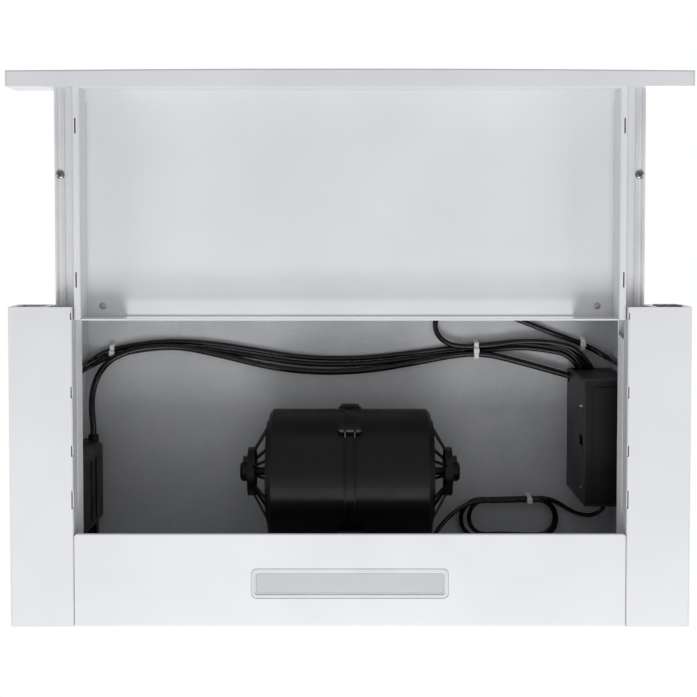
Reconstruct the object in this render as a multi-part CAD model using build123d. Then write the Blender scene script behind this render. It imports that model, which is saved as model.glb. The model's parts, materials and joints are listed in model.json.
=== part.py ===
from build123d import *
import math
import os

# Telescopic range hood. Millimetres, +Z up, the room side is -Y.
# The origin lies in the plane that bears on the cabinet, midway between its four nuts.

# Body
body_width = 598.0
body_depth = 282.0
body_height = 38.0
sheet = 1.0
bend = 2.0
column_width = 56.0
housing_setback = 6.0
housing_top = 140.0
front_wall_edge = 2.0
outlet_y = 36.0

# Cabinet fixing
nut_inset_x = 19.0
nut_inset_y = 21.0
nut_bore = 2.5
nut_body = 5.5
nut_shank = 4.0
nut_height = 4.0

# Inner frame
frame_height = 45.0
crossbar = 8.0
cable_notch = 20.0
notch_slant = 3.0

# Telescopic slides
slide_room = 20.0
slide_level = 26.0
outer_member_sheet = 1.2
outer_member_reach = 10.4
outer_member_front = 1.0
outer_member_rear = 11.0
web_gap = 1.6
inner_member_sheet = 1.5
inner_member_width = 9.2
inner_member_height = 16.0
inner_member_length = 273.0
ball = 2.0
ball_inset = 5.0
ball_gap = 3.7
ball_pitch = 26.0
ball_count = 3
ball_sides = 8
cage_sheet = 0.8
cage_length = 76.0

# Drawer
travel = 190.0
drawer_out = 192.0
pan_length = 203.6
pan_lift = 4.2
pan_height = 30.8
pan_side = 6.2
hem_depth = 11.0
hem_height = 4.0
rear_lip = 7.8
rear_slot_half = 200.0
rear_slot_top = 3.0
flange_slot = 1.2
flange_slot_length = 13.5
flange_slot_places = (42.0, 176.5)
rivet_side = 20.2
rivet_rear = 10.6
rivet_head = 3.0
rivet_shank = 1.6
rivet_tail = 2.4
rivet_dome = 1.2
slide_screw_from_front = 76.0
fastener_sides = 12
screw_head = 3.9
screw_head_height = 2.0
screw_shank = 1.8

# Fascia
fascia_height = 40.0
fascia_depth = 15.3
fascia_bow = 1.6
fascia_edge = 1.5
cap_sheet = 1.5
cap_plug = 6.0

# Lamp panel and lamp
lamp_panel_depth = 82.3
lamp_panel_lip = 2.2
lamp_panel_corner = 3.0
lamp_panel_upstand = 20.0
upstand_setback = 4.3
lamp_width = 173.0
lamp_depth = 25.6
lamp_rear = 25.4
lamp_height = 9.0
lamp_wall = 2.0
lamp_flange = 2.5
lamp_corner = 4.5
lamp_gap = 0.6
lamp_step = 1.6
lens_width = 165.0
lens_depth = 17.0
lens_sheet = 1.5
lens_corner = 2.5
board_sheet = 1.6
led_count = 12
led_size = 3.0
led_height = 0.8
socket_length = 14.0
socket_width = 8.0
socket_height = 4.0
socket_x = 40.0

# Column details
tab_slot_width = 1.6
tab_slots = ((-136.0, 6.0), (-71.0, 10.0), (-19.0, 9.5), (20.6, 15.9))
cable_window = (-82.0, -66.0)
cable_window_low = 3.0
cable_window_top = 30.0
flange_notch = 8.5

# Blower
blower_y = 23.0
blower_z = 65.0
scroll_radius = 59.4
scroll_shift_y = 3.5
scroll_shift_z = 6.6
tongue_angle = 143.0
neck_lug = 12.0
neck_screw_x = 60.0
shell_half = 76.2
shell_wall = 2.5
shell_edge = 3.5
inlet_radius = 45.0
ring_half = 5.1
ring_proud = 2.4
ring_groove = 3.2
ring_groove_depth = 1.4
tab_half = 8.3
tab_proud = 1.5
tab_height = 12.0
ear_angles = (150.0, 220.0, 308.0, 350.0)
ear_radius = 4.5
ear_offset = 3.6
ear_length = 4.2
seam_screw = 1.6
seam_head = 3.2
arm_half = 2.5
arm_count = 4
arm_start = 40.0
motor_radius = 30.0
motor_half = 22.0
motor_wall = 2.0
clamp_radius = 33.5

# Fan wheels and their shaft
shaft_radius = 4.0
shaft_half = 99.0
wheel_radius = 50.0
wheel_hub = 9.0
wheel_clear = 4.0
wheel_web = 2.0
blade_depth = 10.0
blade_sheet = 1.2
blade_sweep = 9.0
blade_count = 22

# Inlet spiders
spider_inner = 43.0
spider_outer = 48.5
hub_radius = 23.0
hub_wall = 2.0
hub_start = 90.0
hub_end = 97.0
rib_foot = 2.5
rib_sheet = 2.0
rib_count = 8
bearing_radius = 9.0
bearing_end = 95.5
cap_radius = 9.5
cap_end = 104.5
cap_tab_reach = 5.0
cap_tab_half = 3.0

# Outlet and flaps
duct_radius = 60.0
duct_wall = 2.0
duct_flange = 12.0
duct_height = 45.0
flap_seat = 2.5
flap_z = 146.0
flap_sheet = 1.5
flap_clear = 1.5
flap_offset = 2.6
flap_barrel = 2.2
flap_pin = 1.5

# Control box
box_width = 44.5
box_front = -68.0
box_rear = 52.0
box_low = 42.0
box_wall = 2.0
box_hole = 1.5
box_slot = 9.0
lid_z = 45.0
board_z = 60.0
post = 3.0
capacitor_radius = 13.0
capacitor_length = 38.0
capacitor_shift = 3.0
capacitor_tab = 0.8
capacitor_tab_length = 6.0

# Parts of the control board: how far each stands from a corner of the board, and its size
transformer_from = (9.0, 9.0)
transformer_size = (22.0, 26.0, 22.0)
relay_from = (8.0, 42.0)
relay_size = (7.0, 18.0, 15.0)
relay_step = 9.0
relay_count = 3
socket_from = (8.0, 16.0)
socket_size = (5.0, 8.0, 10.0)
socket_step = 6.0
socket_count = 5
coil_from = (20.0, 72.0)
coil_radius = 4.0
coil_high = 14.0

# Terminal box and gland
terminal_depth = 18.0
terminal_front = 0.0
terminal_rear = 82.0
terminal_low = 20.0
terminal_high = 115.0
terminal_chamfer = 6.0
terminal_rib_low = 37.0
terminal_rib_high = 59.0
spigot_length = 5.0
spigot_wall = 2.0
lead_from_wall = 10.5
lead_z = 108.0
foot_length = 16.0
foot_high = 10.0
foot_below_top = 2.0
foot_thinner = 4.0
gland_from_wall = 14.0
gland_z = 60.0
gland_thread = 8.0
gland_body = 11.0
gland_nut = 5.0
gland_dome = 16.0
gland_bore = 4.5

# Switches
switch_width = 23.8
switch_height = 28.0
switch_length = 29.0
button_count = 3
button_pitch = 7.4
button_width = 6.2
button_height = 20.0
button_length = 16.0
button_proud = 1.0
button_travel = 2.5
dish_radius = 14.0
dish_depth = 0.5
rocker_width = 15.0
rocker_height = 22.0
rocker_depth = 9.0
rocker_dip = 0.9
rocker_pin = 1.5

# Cables
supply_diameter = 6.3
wire_diameter = 5.2
lamp_diameter = 4.2
tube_sides = 6
supply_level = 129.3
wire_high = 135.7
tie_x = 126.4
tie_y = -86.7
tie_half = 7.2
first_tie_x = -239.0
first_tie_y = -83.2
speed_clip_x = 233.9
speed_clip_y = -92.1
speed_clip_half = 5.2
clip_width = 7.0
clip_sheet = 1.2
clip_foot = 6.0
hank_loops = 3
hank_radius = 20.0
hank_shrink = 2.5
hank_step = 4.8
hank_level = 135.5
hank_left = 132.0
hank_right = 188.0
hank_y = 64.0
hank_tie_x = 180.0

# Clearances
fit = 0.05
slip = 0.2
free = 0.4
play = 0.6
race_clear = 0.3
drawer_clear = 0.8
slot_clear = 1.0

# Places worked out from the sizes
half_width = body_width / 2
half_depth = body_depth / 2
under = -body_height
column_in = half_width - column_width
frame_wall = column_in + sheet
wall_in = frame_wall + slide_room
wall_out = wall_in + sheet
house_y = half_depth - housing_setback
house_in_y = house_y - sheet
ceiling = housing_top - sheet
slide_z = under + slide_level
inner_low = slide_z - inner_member_height / 2
inner_high = slide_z + inner_member_height / 2
outer_low = inner_low - ball_gap - outer_member_sheet
outer_high = inner_high + ball_gap + outer_member_sheet
web_out = wall_in - outer_member_sheet - web_gap
inner_edge = web_out - inner_member_width
ball_x = inner_edge + ball_inset
ball_low = inner_low - ball_gap / 2
ball_high = inner_high + ball_gap / 2
drawer_front = -half_depth - drawer_out
pan_half = column_in - drawer_clear
pan_low = under + pan_lift
pan_top = pan_low + pan_height
pan_rear = drawer_front + pan_length
flange_low = inner_low + inner_member_sheet
frame_top = under + frame_height
screw_x = (inner_edge + web_out - inner_member_sheet) / 2
tab_screw_x = screw_x - free
screw_y = drawer_front + slide_screw_from_front
panel_half = column_in - play
lamp_front = half_depth - lamp_rear - lamp_depth
lamp_y = lamp_front + lamp_depth / 2
nut_x = half_width - nut_inset_x
nut_y = half_depth - nut_inset_y
rivet_xs = (rivet_side - pan_half, pan_half - rivet_side)
rivet_y = pan_rear - rivet_rear
box_mid_x = wall_in - box_width / 2
box_mid_y = (box_front + box_rear) / 2
switch_x = (wall_out + half_width - sheet) / 2
switch_z = under / 2
rocker_pivot_y = rocker_depth / 2 - half_depth
neck_front = outlet_y - duct_radius
gland_x = gland_from_wall - wall_in
lead_x = lead_from_wall - wall_in

# Cable routes: points chosen along each run; the last stretch of a switch cable is worked out below
supply_route = [
    (lead_x, terminal_front, lead_z),
    (lead_x, -14, lead_z),
    (-256, -29, 111.5),
    (-256.6, -46, 118.5),
    (-251.5, -64, 124.5),
    (-238.5, -79, 127.3),
    (-213, -88.5, 128.3),
    (-172, -91, 129.2),
    (-128, -81.5, 129),
    (-80, -69.5, 128.6),
    (-30, -64, 128.8),
    (22, -66.5, 129.2),
    (72, -75.5, supply_level),
    (112, -83.2, supply_level),
    (138, -82.8, supply_level),
    (160, -77.5, 129),
    (190, -69.5, 129),
    (wall_in - box_width + box_wall, -60.5, 129),
]
light_rear_inside = [
    (-259.8, -70.4, 121.5),
    (-255, -73.2, 130),
    (-246.6, -78, 134.8),
    (-228, -83.2, wire_high),
    (-192, -89, wire_high),
    (-148, -88, 135.2),
    (-100, -80.5, 135),
    (-48, -72, 135.2),
    (8, -71.2, wire_high),
    (64, -77.5, wire_high),
    (112, -83.2, wire_high),
    (140, -85.8, wire_high),
    (170, -89.2, 134.8),
    (198, -86.4, 133),
    (222, -81.5, 131.6),
    (231.5, box_front + box_wall, 131),
]
light_front_inside = [
    (-259.8, -76.6, 121.5),
    (-255, -79.4, 130),
    (-246.6, -84.2, 134.8),
    (-228, -89.4, wire_high),
    (-190, -95, wire_high),
    (-146, -94, 135.2),
    (-98, -86.6, 135),
    (-46, -78.1, 135.2),
    (10, -77.3, wire_high),
    (66, -83.6, wire_high),
    (114, -89.4, wire_high),
    (142, -91.9, wire_high),
    (172, -95.6, 134.8),
    (202, -92.8, 133),
    (227, -86, 131.6),
    (237.8, box_front + box_wall, 131),
]
speed_inside = [
    (259.8, -77.8, 121.5),
    (255.2, -80.8, 130),
    (247, -85.8, 134.8),
    (230, -94, wire_high),
    (203, -103.5, wire_high),
    (174, -115, 135),
    (146, -125.5, 134.4),
    (121, -130, 133.8),
    (99.5, -130, 133),
    (90.6, -125.2, 132.4),
    (85.4, -116.4, 131.8),
    (85.6, -106.4, 131),
    (90.8, -98, 130.4),
    (99.4, -92.6, 129.8),
    (112, -89.9, supply_level),
    (142, -91.5, 129),
    (172, -96, 128),
    (205, -94.8, 126.8),
    (232, -86.5, 125.2),
    (243, box_front + box_wall, 124.6),
]
switch_cables = {
    "light_cable_rear": (light_rear_inside, -1, -8.5),
    "light_cable_front": (light_front_inside, -1, 2.5),
    "speed_switch_cable": (speed_inside, 1, 1.0),
}
lamp_route_in = [
    (256, box_rear - box_wall, 126),
    (258, 62, 127),
    (254.5, 74.5, 129),
    (243, 81.5, 131),
    (226, 79, 133),
]
lamp_route_out = [
    (108, 71, 118.5),
    (90, 85, 109),
    (77, 101, 94),
    (63, 110.5, 74),
    (52, 112, 50),
    (45, 108.5, 26),
    (41, 104, 2),
]


def block(x, y, z):
    """A block between the two ends given on each axis."""
    middle = Pos((x[0] + x[1]) / 2, (y[0] + y[1]) / 2, (z[0] + z[1]) / 2)
    return middle * Box(x[1] - x[0], y[1] - y[0], z[1] - z[0])


def rod_x(radius, x, y, z):
    """A round bar along X, between the two ends in x."""
    return Pos((x[0] + x[1]) / 2, y, z) * Rot(0, 90, 0) * Cylinder(radius, x[1] - x[0])


def rod_y(radius, x, y, z):
    """A round bar along Y, between the two ends in y."""
    return Pos(x, (y[0] + y[1]) / 2, z) * Rot(90, 0, 0) * Cylinder(radius, y[1] - y[0])


def rod_z(radius, x, y, z):
    """A round bar along Z, between the two ends in z."""
    return Pos(x, y, (z[0] + z[1]) / 2) * Cylinder(radius, z[1] - z[0])


def bar_x(radius, x, y, z):
    """A bar along X with few sides, for the small fasteners."""
    section = extrude(RegularPolygon(radius, fastener_sides), amount=x[1] - x[0])
    return Pos(x[0], y, z) * Rot(0, 90, 0) * section


def bar_z(radius, x, y, z):
    """A bar along Z with few sides, for the small fasteners."""
    return Pos(x, y, z[0]) * extrude(RegularPolygon(radius, fastener_sides), amount=z[1] - z[0])


def both(right):
    """The right-hand piece and its mirror image."""
    return [right, mirror(right, about=Plane.YZ)]


def strip(points, thick, radius=0.0):
    """The section of a folded strip: its given face, the other face on the left, and round bends."""
    given = [Vector(*point) for point in points]
    steps = [(after - before).normalized() for before, after in zip(given, given[1:])]
    sides = [Vector(-step.Y, step.X) * (1 if thick > 0 else -1) for step in steps]
    size = abs(thick)
    offset = [given[0] + sides[0] * size]
    near = []
    far = []
    for point, before, after, step in zip(given[1:-1], sides, sides[1:], steps):
        mitre = before + after
        offset.append(point + mitre * (2 * size / mitre.dot(mitre)))
        closes = after.dot(step) < 0
        near.append(radius if closes else max(radius - size, 0))
        far.append(max(radius - size, 0) if closes else radius)
    offset.append(given[-1] + sides[-1] * size)
    if radius == 0 or len(given) < 3:
        return make_face(Polyline(*given, *reversed(offset), close=True))
    edges = FilletPolyline(*given, radius=near).edges() + FilletPolyline(*offset, radius=far).edges()
    ends = [Line(given[0], offset[0]), Line(given[-1], offset[-1])]
    return make_face(edges + ends)


def along_x(section, x):
    """Draw a Y-Z section out between the two ends in x."""
    return Pos(x[0], 0, 0) * extrude(Plane.YZ * section, amount=x[1] - x[0])


def along_y(section, y):
    """Draw an X-Z section out between the two ends in y."""
    return Pos(0, y[0], 0) * extrude(Plane.XZ * section, amount=y[0] - y[1])


def upper_housing():
    """The folded box above the hood: side walls to the bottom, a short front wall and the ceiling."""
    outer = block((-wall_out, wall_out), (-house_y, house_y), (under + sheet, housing_top))
    outer = fillet(outer.edges().filter_by(Axis.Z), bend)
    inner = block((-wall_in, wall_in), (-house_in_y, house_in_y), (under, ceiling))
    inner = fillet(inner.edges().filter_by(Axis.Z), bend - sheet)
    front = block((-wall_in, wall_in), (-house_y - sheet, -house_in_y + bend), (under, front_wall_edge))
    outlet = rod_z(duct_radius - duct_wall, 0, outlet_y, (ceiling - sheet, housing_top + sheet))
    gland = rod_y(gland_thread + fit, gland_x, (house_in_y - sheet, house_y + sheet), gland_z)
    through = (ceiling - sheet, housing_top + sheet)
    holes = [rod_z(screw_shank + fit, x, y, through) for x, y in ceiling_screws()]
    windows = both(block((wall_in - 1, wall_out + 1), cable_window, (cable_window_low, cable_window_top)))
    lip_x = (column_in - slip, frame_wall + bend - sheet / 2)
    lips = both(block(lip_x, (house_in_y - bend, house_y + sheet), (under, flange_low - slot_clear + slip)))
    return outer - inner - front - outlet - gland - holes - windows - lips


def ceiling_screws():
    """Where sheet screws pass through the ceiling: blower, outlet flange and control box."""
    return neck_screws() + collar_screws() + [(box_mid_x, box_mid_y)]


def inner_frame():
    """The collar that lines the opening: a wall and a ledge on each side and a bar over the drawer."""
    gap_edge = flange_low + sheet + slot_clear
    section = strip([(wall_in, frame_top), (column_in, frame_top), (column_in, gap_edge)], sheet, bend)
    rail = along_y(section, (bend - house_in_y, house_in_y - bend))
    frame = rail + mirror(rail, about=Plane.YZ)
    bar_y = (-house_in_y, -house_in_y + crossbar)
    frame += block((-column_in - bend, column_in + bend), bar_y, (frame_top - sheet, frame_top))
    lip_z = (front_wall_edge, frame_top)
    frame += block((-column_in, column_in), (bar_y[0], bar_y[0] + sheet), lip_z)
    notch_y = -house_in_y + cable_notch
    corners = [(-house_in_y - sheet, gap_edge - sheet), (notch_y + notch_slant, gap_edge - sheet)]
    corners += [(notch_y, frame_top - bend), (-house_in_y - sheet, frame_top - bend)]
    notch = make_face(Polyline(*corners, close=True))
    return frame - along_x(notch, (column_in + sheet / 2 - sheet, frame_wall + sheet / 2))


def column_cover():
    """The right-hand channel: lip, bottom, outer wall and the top flange that bears on the cabinet."""
    lip = (column_in, flange_low - slot_clear)
    path = [lip, (column_in, under), (half_width, under), (half_width, 0), (wall_out, 0)]
    cover = along_y(strip(path, sheet, bend), (-half_depth, half_depth))
    rear_z = (under + sheet / 2, flange_low - slot_clear)
    cover += block((column_in + sheet / 2, wall_out), (half_depth - sheet, half_depth), rear_z)
    end_z = (under + sheet / 2, -sheet / 2)
    cover += block((wall_out, half_width - sheet / 2), (half_depth - sheet, half_depth), end_z)
    cover += block((wall_out, half_width - sheet / 2), (-half_depth, sheet - half_depth), end_z)
    cover -= switch_window()
    cover -= block((wall_out - 1, wall_out + flange_notch), cable_window, (-2 * sheet, sheet))
    for start, length in tab_slots:
        slot_x = (column_in - sheet, column_in + tab_slot_width)
        cover -= block(slot_x, (start, start + length), (under - sheet, under + sheet + bend / 2))
    for y in (-nut_y, nut_y):
        cover -= rod_z(nut_shank + fit, nut_x, y, (-2 * sheet, sheet))
    return cover


def flange_nut(x, y):
    """A clinched nut: a hexagon under the flange with its shank set in the sheet."""
    body = Pos(x, y, -sheet - nut_height) * extrude(RegularPolygon(nut_body, 6), amount=nut_height)
    body += bar_z(nut_shank, x, y, (-sheet - nut_height / 2, 0))
    return body - rod_z(nut_bore, x, y, (-sheet - nut_height - 1, 1))


def slide_outer():
    """The fixed member of the right-hand slide: a channel with a ball race in each flange."""
    free_edge = wall_in - outer_member_reach
    path = [(free_edge, outer_low), (wall_in, outer_low), (wall_in, outer_high), (free_edge, outer_high)]
    y = (-half_depth + outer_member_front, half_depth - outer_member_rear)
    member = along_y(strip(path, outer_member_sheet, bend), y)
    return member - ball_races(y)


def ball_races(y):
    """The two round grooves in which the balls run."""
    reach = (y[0] - 1, y[1] + 1)
    return [rod_y(ball + race_clear, ball_x, reach, z) for z in (ball_low, ball_high)]


def slide_inner():
    """The sliding member of the right-hand slide, with its front tab and its rear stop."""
    path = [(inner_edge, inner_low), (web_out, inner_low), (web_out, inner_high), (inner_edge, inner_high)]
    y = (drawer_front, drawer_front + inner_member_length)
    member = along_y(strip(path, inner_member_sheet, bend), y)
    tab_z = (inner_low + inner_member_sheet + sheet + fit, inner_high - inner_member_sheet / 2)
    tab_x = (inner_edge, web_out - inner_member_sheet / 2)
    member += block(tab_x, (y[0], y[0] + inner_member_sheet), tab_z)
    member += block(tab_x, (y[1] - inner_member_sheet, y[1]), (slide_z - 2, slide_z + 2))
    member -= ball_races(y)
    member -= rod_z(screw_shank + fit, screw_x, screw_y, (inner_low - 1, slide_z))
    return member - rod_y(screw_shank + fit, tab_screw_x, (y[0] - 1, y[0] + 3), slide_z)


def ball_places():
    """The Y of each ball of one row, spread about the middle of the cage."""
    middle = -half_depth + outer_member_front + 2 + cage_length / 2
    return [middle + ball_pitch * (k - (ball_count - 1) / 2) for k in range(ball_count)]


def ball_cage():
    """The right-hand ball retainer: a thin channel between the members, with a hole for each ball."""
    web = wall_in - outer_member_sheet - web_gap / 2 + cage_sheet / 2
    free_edge = ball_x - ball - 1
    low = ball_low - cage_sheet / 2
    high = ball_high + cage_sheet / 2
    start = -half_depth + outer_member_front + 2
    path = [(free_edge, low), (web, low), (web, high), (free_edge, high)]
    cage = along_y(strip(path, cage_sheet), (start, start + cage_length))
    for y in ball_places():
        cage -= rod_z(ball + race_clear / 2, ball_x, y, (low - 1, high + 1))
    return cage


def slide_balls():
    """All balls of both slides, each cut many-sided along the three axes."""
    one_ball = None
    for plane in (Plane.XY, Plane.YZ, Plane.XZ):
        prism = extrude(plane * RegularPolygon(ball, ball_sides), amount=ball, both=True)
        one_ball = prism if one_ball is None else one_ball & prism
    right = [Pos(ball_x, y, z) * one_ball for y in ball_places() for z in (ball_low, ball_high)]
    return right + [mirror(one, about=Plane.YZ) for one in right]


def drawer_pan():
    """The sliding pan: a top sheet with boxed sides, a rear lip, a front hem and the slide flanges."""
    inner = pan_half - pan_side
    inner_top = pan_top - sheet - free
    side = [(inner, inner_top), (inner, pan_low), (pan_half, pan_low), (pan_half, pan_top)]
    path = [(-x, z) for x, z in side] + [(x, z) for x, z in reversed(side)]
    pan = along_y(strip(path, -sheet, bend), (drawer_front, pan_rear))
    wall_z = (pan_low, pan_top - sheet / 2)
    pan += block((-inner, inner), (drawer_front, drawer_front + sheet), wall_z)
    rear = block((-inner, inner), (pan_rear - sheet, pan_rear), wall_z)
    slot_z = (pan_low + rear_lip, pan_top - rear_slot_top)
    pan += rear - block((-rear_slot_half, rear_slot_half), (pan_rear - 2 * sheet, pan_rear + sheet), slot_z)
    hem_low = pan_top - sheet - hem_height
    hem = [(drawer_front + sheet / 2, hem_low), (drawer_front + hem_depth, hem_low)]
    hem += [(drawer_front + hem_depth, pan_top - sheet / 2)]
    pan += along_x(strip(hem, sheet), (-inner + fit, inner - fit))
    for flange in both(slide_flange()):
        pan += flange
    slots = []
    for place in flange_slot_places:
        y = drawer_front + pan_length - place
        slot_x = (pan_half - pan_side / 2, pan_half - pan_side / 2 + flange_slot)
        slot = block(slot_x, (y, y + flange_slot_length), (pan_low - sheet, pan_low + 2 * sheet))
        slots += both(slot)
    holes = [rod_z(rivet_shank + fit, x, rivet_y, (pan_top - 2 * sheet, pan_top + sheet)) for x in rivet_xs]
    return pan - slots - holes


def slide_flange():
    """The flange of the pan that lies on the right-hand sliding member."""
    x = (pan_half - sheet / 2, web_out - inner_member_sheet - play)
    flange = block(x, (drawer_front, pan_rear), (flange_low, flange_low + sheet))
    return flange - rod_z(screw_shank + fit, screw_x, screw_y, (flange_low - sheet, flange_low + 2 * sheet))


def slide_screw():
    """A pan-head screw from below, through the sliding member and the flange of the pan."""
    head = bar_z(screw_head, screw_x, screw_y, (inner_low - screw_head_height, inner_low))
    head = chamfer(head.edges().group_by(Axis.Z)[0], screw_head_height / 2)
    cross = Box(screw_head, flange_slot, screw_head_height) + Box(flange_slot, screw_head, screw_head_height)
    head -= Pos(screw_x, screw_y, inner_low - screw_head_height) * cross
    return head + bar_z(screw_shank, screw_x, screw_y, (inner_low, flange_low + 2 * sheet))


def fascia_screw():
    """A screw through the front tab of the right-hand slide into the back plate of the fascia."""
    tab = drawer_front + inner_member_sheet
    head = rod_y(screw_head, tab_screw_x, (tab, tab + screw_head_height), slide_z)
    return head + rod_y(screw_shank, tab_screw_x, (drawer_front - screw_head, tab), slide_z)


def rivet(x):
    """A blind rivet: dome below the top sheet, shank and upset tail above it."""
    low = pan_top - sheet
    dome = bar_z(rivet_head, x, rivet_y, (low - rivet_dome, low))
    dome = chamfer(dome.edges().group_by(Axis.Z)[0], rivet_dome * 0.6)
    body = dome + bar_z(rivet_shank, x, rivet_y, (low, pan_top))
    return body + bar_z(rivet_tail, x, rivet_y, (pan_top, pan_top + sheet))


def fascia_block(inset, x, depth_end):
    """The solid of the fascia between the ends in x, drawn in by the inset on front, top and bottom."""
    front = drawer_front - fascia_depth + inset
    ends = front + fascia_bow
    arc = ThreePointArc((-half_width, ends), (0, front), (half_width, ends))
    rear = [(half_width, depth_end), (-half_width, depth_end)]
    sides = Polyline((half_width, ends), *rear, (-half_width, ends))
    top = under + fascia_height
    plan = extrude(make_face(arc.edges() + sides.edges()), amount=fascia_height - 2 * inset)
    solid = Pos(0, 0, under + inset) * plan
    edge = max(fascia_edge - inset, 0)
    if edge > 0:
        low_front = solid.edges().filter_by(GeomType.CIRCLE)
        solid = fillet(low_front, edge)
    return solid & block(x, (front - sheet, depth_end + sheet), (under - sheet, top + sheet))


def fascia_shell():
    """The folded front panel, open at the back and at both ends."""
    reach = half_width - cap_sheet
    shell = fascia_block(0, (-reach, reach), drawer_front)
    return shell - fascia_block(sheet, (-half_width - 1, half_width + 1), drawer_front + 1)


def fascia_back_plate():
    """The flat plate that closes the fascia from behind and carries the drawer."""
    reach = half_width - cap_sheet - fit
    z = (under + sheet + fit, under + fascia_height - sheet - fit)
    plate = block((-reach, reach), (drawer_front - sheet, drawer_front), z)
    through = (drawer_front - 2 * sheet, drawer_front + sheet)
    holes = [rod_y(screw_shank + fit, x, through, slide_z) for x in (-tab_screw_x, tab_screw_x)]
    return plate - holes


def fascia_cap():
    """The right-hand end cap: a skin over the end and a plug inside the shell."""
    reach = half_width - cap_sheet
    skin = fascia_block(0, (reach, half_width), drawer_front)
    plug = fascia_block(sheet + slip, (reach - cap_plug, reach + sheet / 2), drawer_front - sheet - slip)
    pocket = fascia_block(2 * sheet + slip, (reach - cap_plug - 1, reach), drawer_front)
    return skin + (plug - pocket)


def lamp_panel():
    """The fixed rear part of the bottom: a tray with a rolled front lip, a rear wall and side upstands."""
    front = half_depth - lamp_panel_depth
    path = [(front, under + lamp_panel_lip), (front, under), (half_depth, under), (half_depth, 0)]
    panel = along_x(strip(path, sheet, bend - sheet / 2), (-panel_half, panel_half))
    plan = block((-panel_half, panel_half), (front, half_depth), (under - 1, 1))
    panel &= fillet(plan.edges().filter_by(Axis.Z).group_by(Axis.Y)[0], lamp_panel_corner)
    upstand_y = (front + upstand_setback, house_in_y - slip)
    upstand_z = (under + sheet / 2, under + lamp_panel_upstand)
    upstand = block((panel_half - sheet, panel_half), upstand_y, upstand_z)
    for side in both(upstand):
        panel += side
    window = lamp_box(lamp_width + 2 * lamp_gap, lamp_depth + 2 * lamp_gap, -1, 2 * sheet)
    return panel - fillet(window.edges().filter_by(Axis.Z), lamp_corner + lamp_gap)


def lamp_box(width, depth, low, high):
    """A block centred on the lamp, between two heights above the underside."""
    x = (-width / 2, width / 2)
    return block(x, (lamp_y - depth / 2, lamp_y + depth / 2), (under + low, under + high))


def lamp_frame():
    """The moulded frame of the lamp: a tray with a window below and a flange that rests on the panel."""
    frame = lamp_box(lamp_width, lamp_depth, 0, lamp_height)
    frame = fillet(frame.edges().filter_by(Axis.Z), lamp_corner)
    flange = lamp_box(lamp_width + 2 * lamp_flange, lamp_depth + 2 * lamp_flange, sheet, 2 * sheet)
    frame += fillet(flange.edges().filter_by(Axis.Z), lamp_corner + lamp_flange)
    frame -= lamp_box(lamp_width - 2 * lamp_wall, lamp_depth - 2 * lamp_wall, lamp_wall, lamp_height + 1)
    step = lamp_box(lens_width + 2 * lamp_step, lens_depth + 2 * lamp_step, -1, lamp_wall / 2)
    frame -= fillet(step.edges().filter_by(Axis.Z), lens_corner)
    window = lamp_box(lens_width + 2 * slip, lens_depth + 2 * slip, -1, lamp_wall + 1)
    return frame - fillet(window.edges().filter_by(Axis.Z), lens_corner)


def lamp_lens():
    """The diffuser: a window plate with a stepped rim that lies in the frame and carries the lights."""
    width = lamp_width - 2 * lamp_wall - 2 * slip
    depth = lamp_depth - 2 * lamp_wall - 2 * slip
    lens = lamp_box(width, depth, lamp_wall, lamp_wall + lens_sheet)
    window = lamp_box(lens_width, lens_depth, lamp_wall / 2, lamp_wall + lens_sheet / 2)
    lens += fillet(window.edges().filter_by(Axis.Z), lens_corner)
    rim_top = lamp_height - board_sheet
    rim = lamp_box(width, depth, lamp_wall + lens_sheet / 2, rim_top)
    rim -= lamp_box(width - 2 * lens_sheet, depth - 2 * lens_sheet, lamp_wall, rim_top + 1)
    return lens + rim


def led_board():
    """The strip of light sources, on the rim of the lens."""
    width = lamp_width - 2 * lamp_wall - 2 * slip
    depth = lamp_depth - 2 * lamp_wall - 2 * slip
    board = lamp_box(width, depth, lamp_height - board_sheet, lamp_height)
    pitch = lens_width / led_count
    low = under + lamp_height - board_sheet - led_height
    for k in range(led_count):
        x = pitch * (k - (led_count - 1) / 2)
        led = Pos(x, lamp_y, low + led_height / 2) * Box(led_size, led_size, led_height)
        board += led
    socket = Pos(socket_x, 0, 0) * lamp_box(socket_length, socket_width, lamp_height,
                                            lamp_height + socket_height)
    return board + socket


def polar(radius, angle):
    """A point of the blower's Y-Z plane at a radius and an angle about the shaft."""
    turn = math.radians(angle)
    return (blower_y + radius * math.cos(turn), blower_z + radius * math.sin(turn))


def scroll_arc(angle, inset):
    """The centre and the radius of the arc of the scroll that runs through an angle."""
    radius = scroll_radius - inset
    if angle <= 180:
        return blower_y, blower_z, radius
    if angle <= 270:
        return blower_y + scroll_shift_y, blower_z, radius + scroll_shift_y
    return blower_y + scroll_shift_y, blower_z + scroll_shift_z, radius + scroll_shift_y + scroll_shift_z


def scroll_point(angle, inset, arc_angle=None):
    """A point of the scroll at an angle about its arc's centre."""
    y, z, radius = scroll_arc(angle if arc_angle is None else arc_angle, inset)
    turn = math.radians(angle)
    return (y + radius * math.cos(turn), z + radius * math.sin(turn))


def scroll(inset, top):
    """The section of the blower: three tangent arcs of growing radius and the neck above them."""
    arcs = []
    for start, finish in ((tongue_angle, 180), (180, 270), (270, 360)):
        ends = [scroll_point(angle, inset, finish) for angle in (start, (start + finish) / 2, finish)]
        arcs += ThreePointArc(*ends).edges()
    last = scroll_point(360, inset)
    neck = [last, (last[0], top), (neck_front + inset, top), scroll_point(tongue_angle, inset)]
    return make_face(arcs + Polyline(*neck).edges())


def about_shaft(section):
    """Turn a section of X and radius round the shaft."""
    return Pos(0, blower_y, blower_z) * revolve(make_face(Polyline(*section, close=True)), Axis.X)


def ear_places():
    """The Y and Z of each seam ear."""
    return [scroll_point(angle, -ear_offset) for angle in ear_angles]


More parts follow.
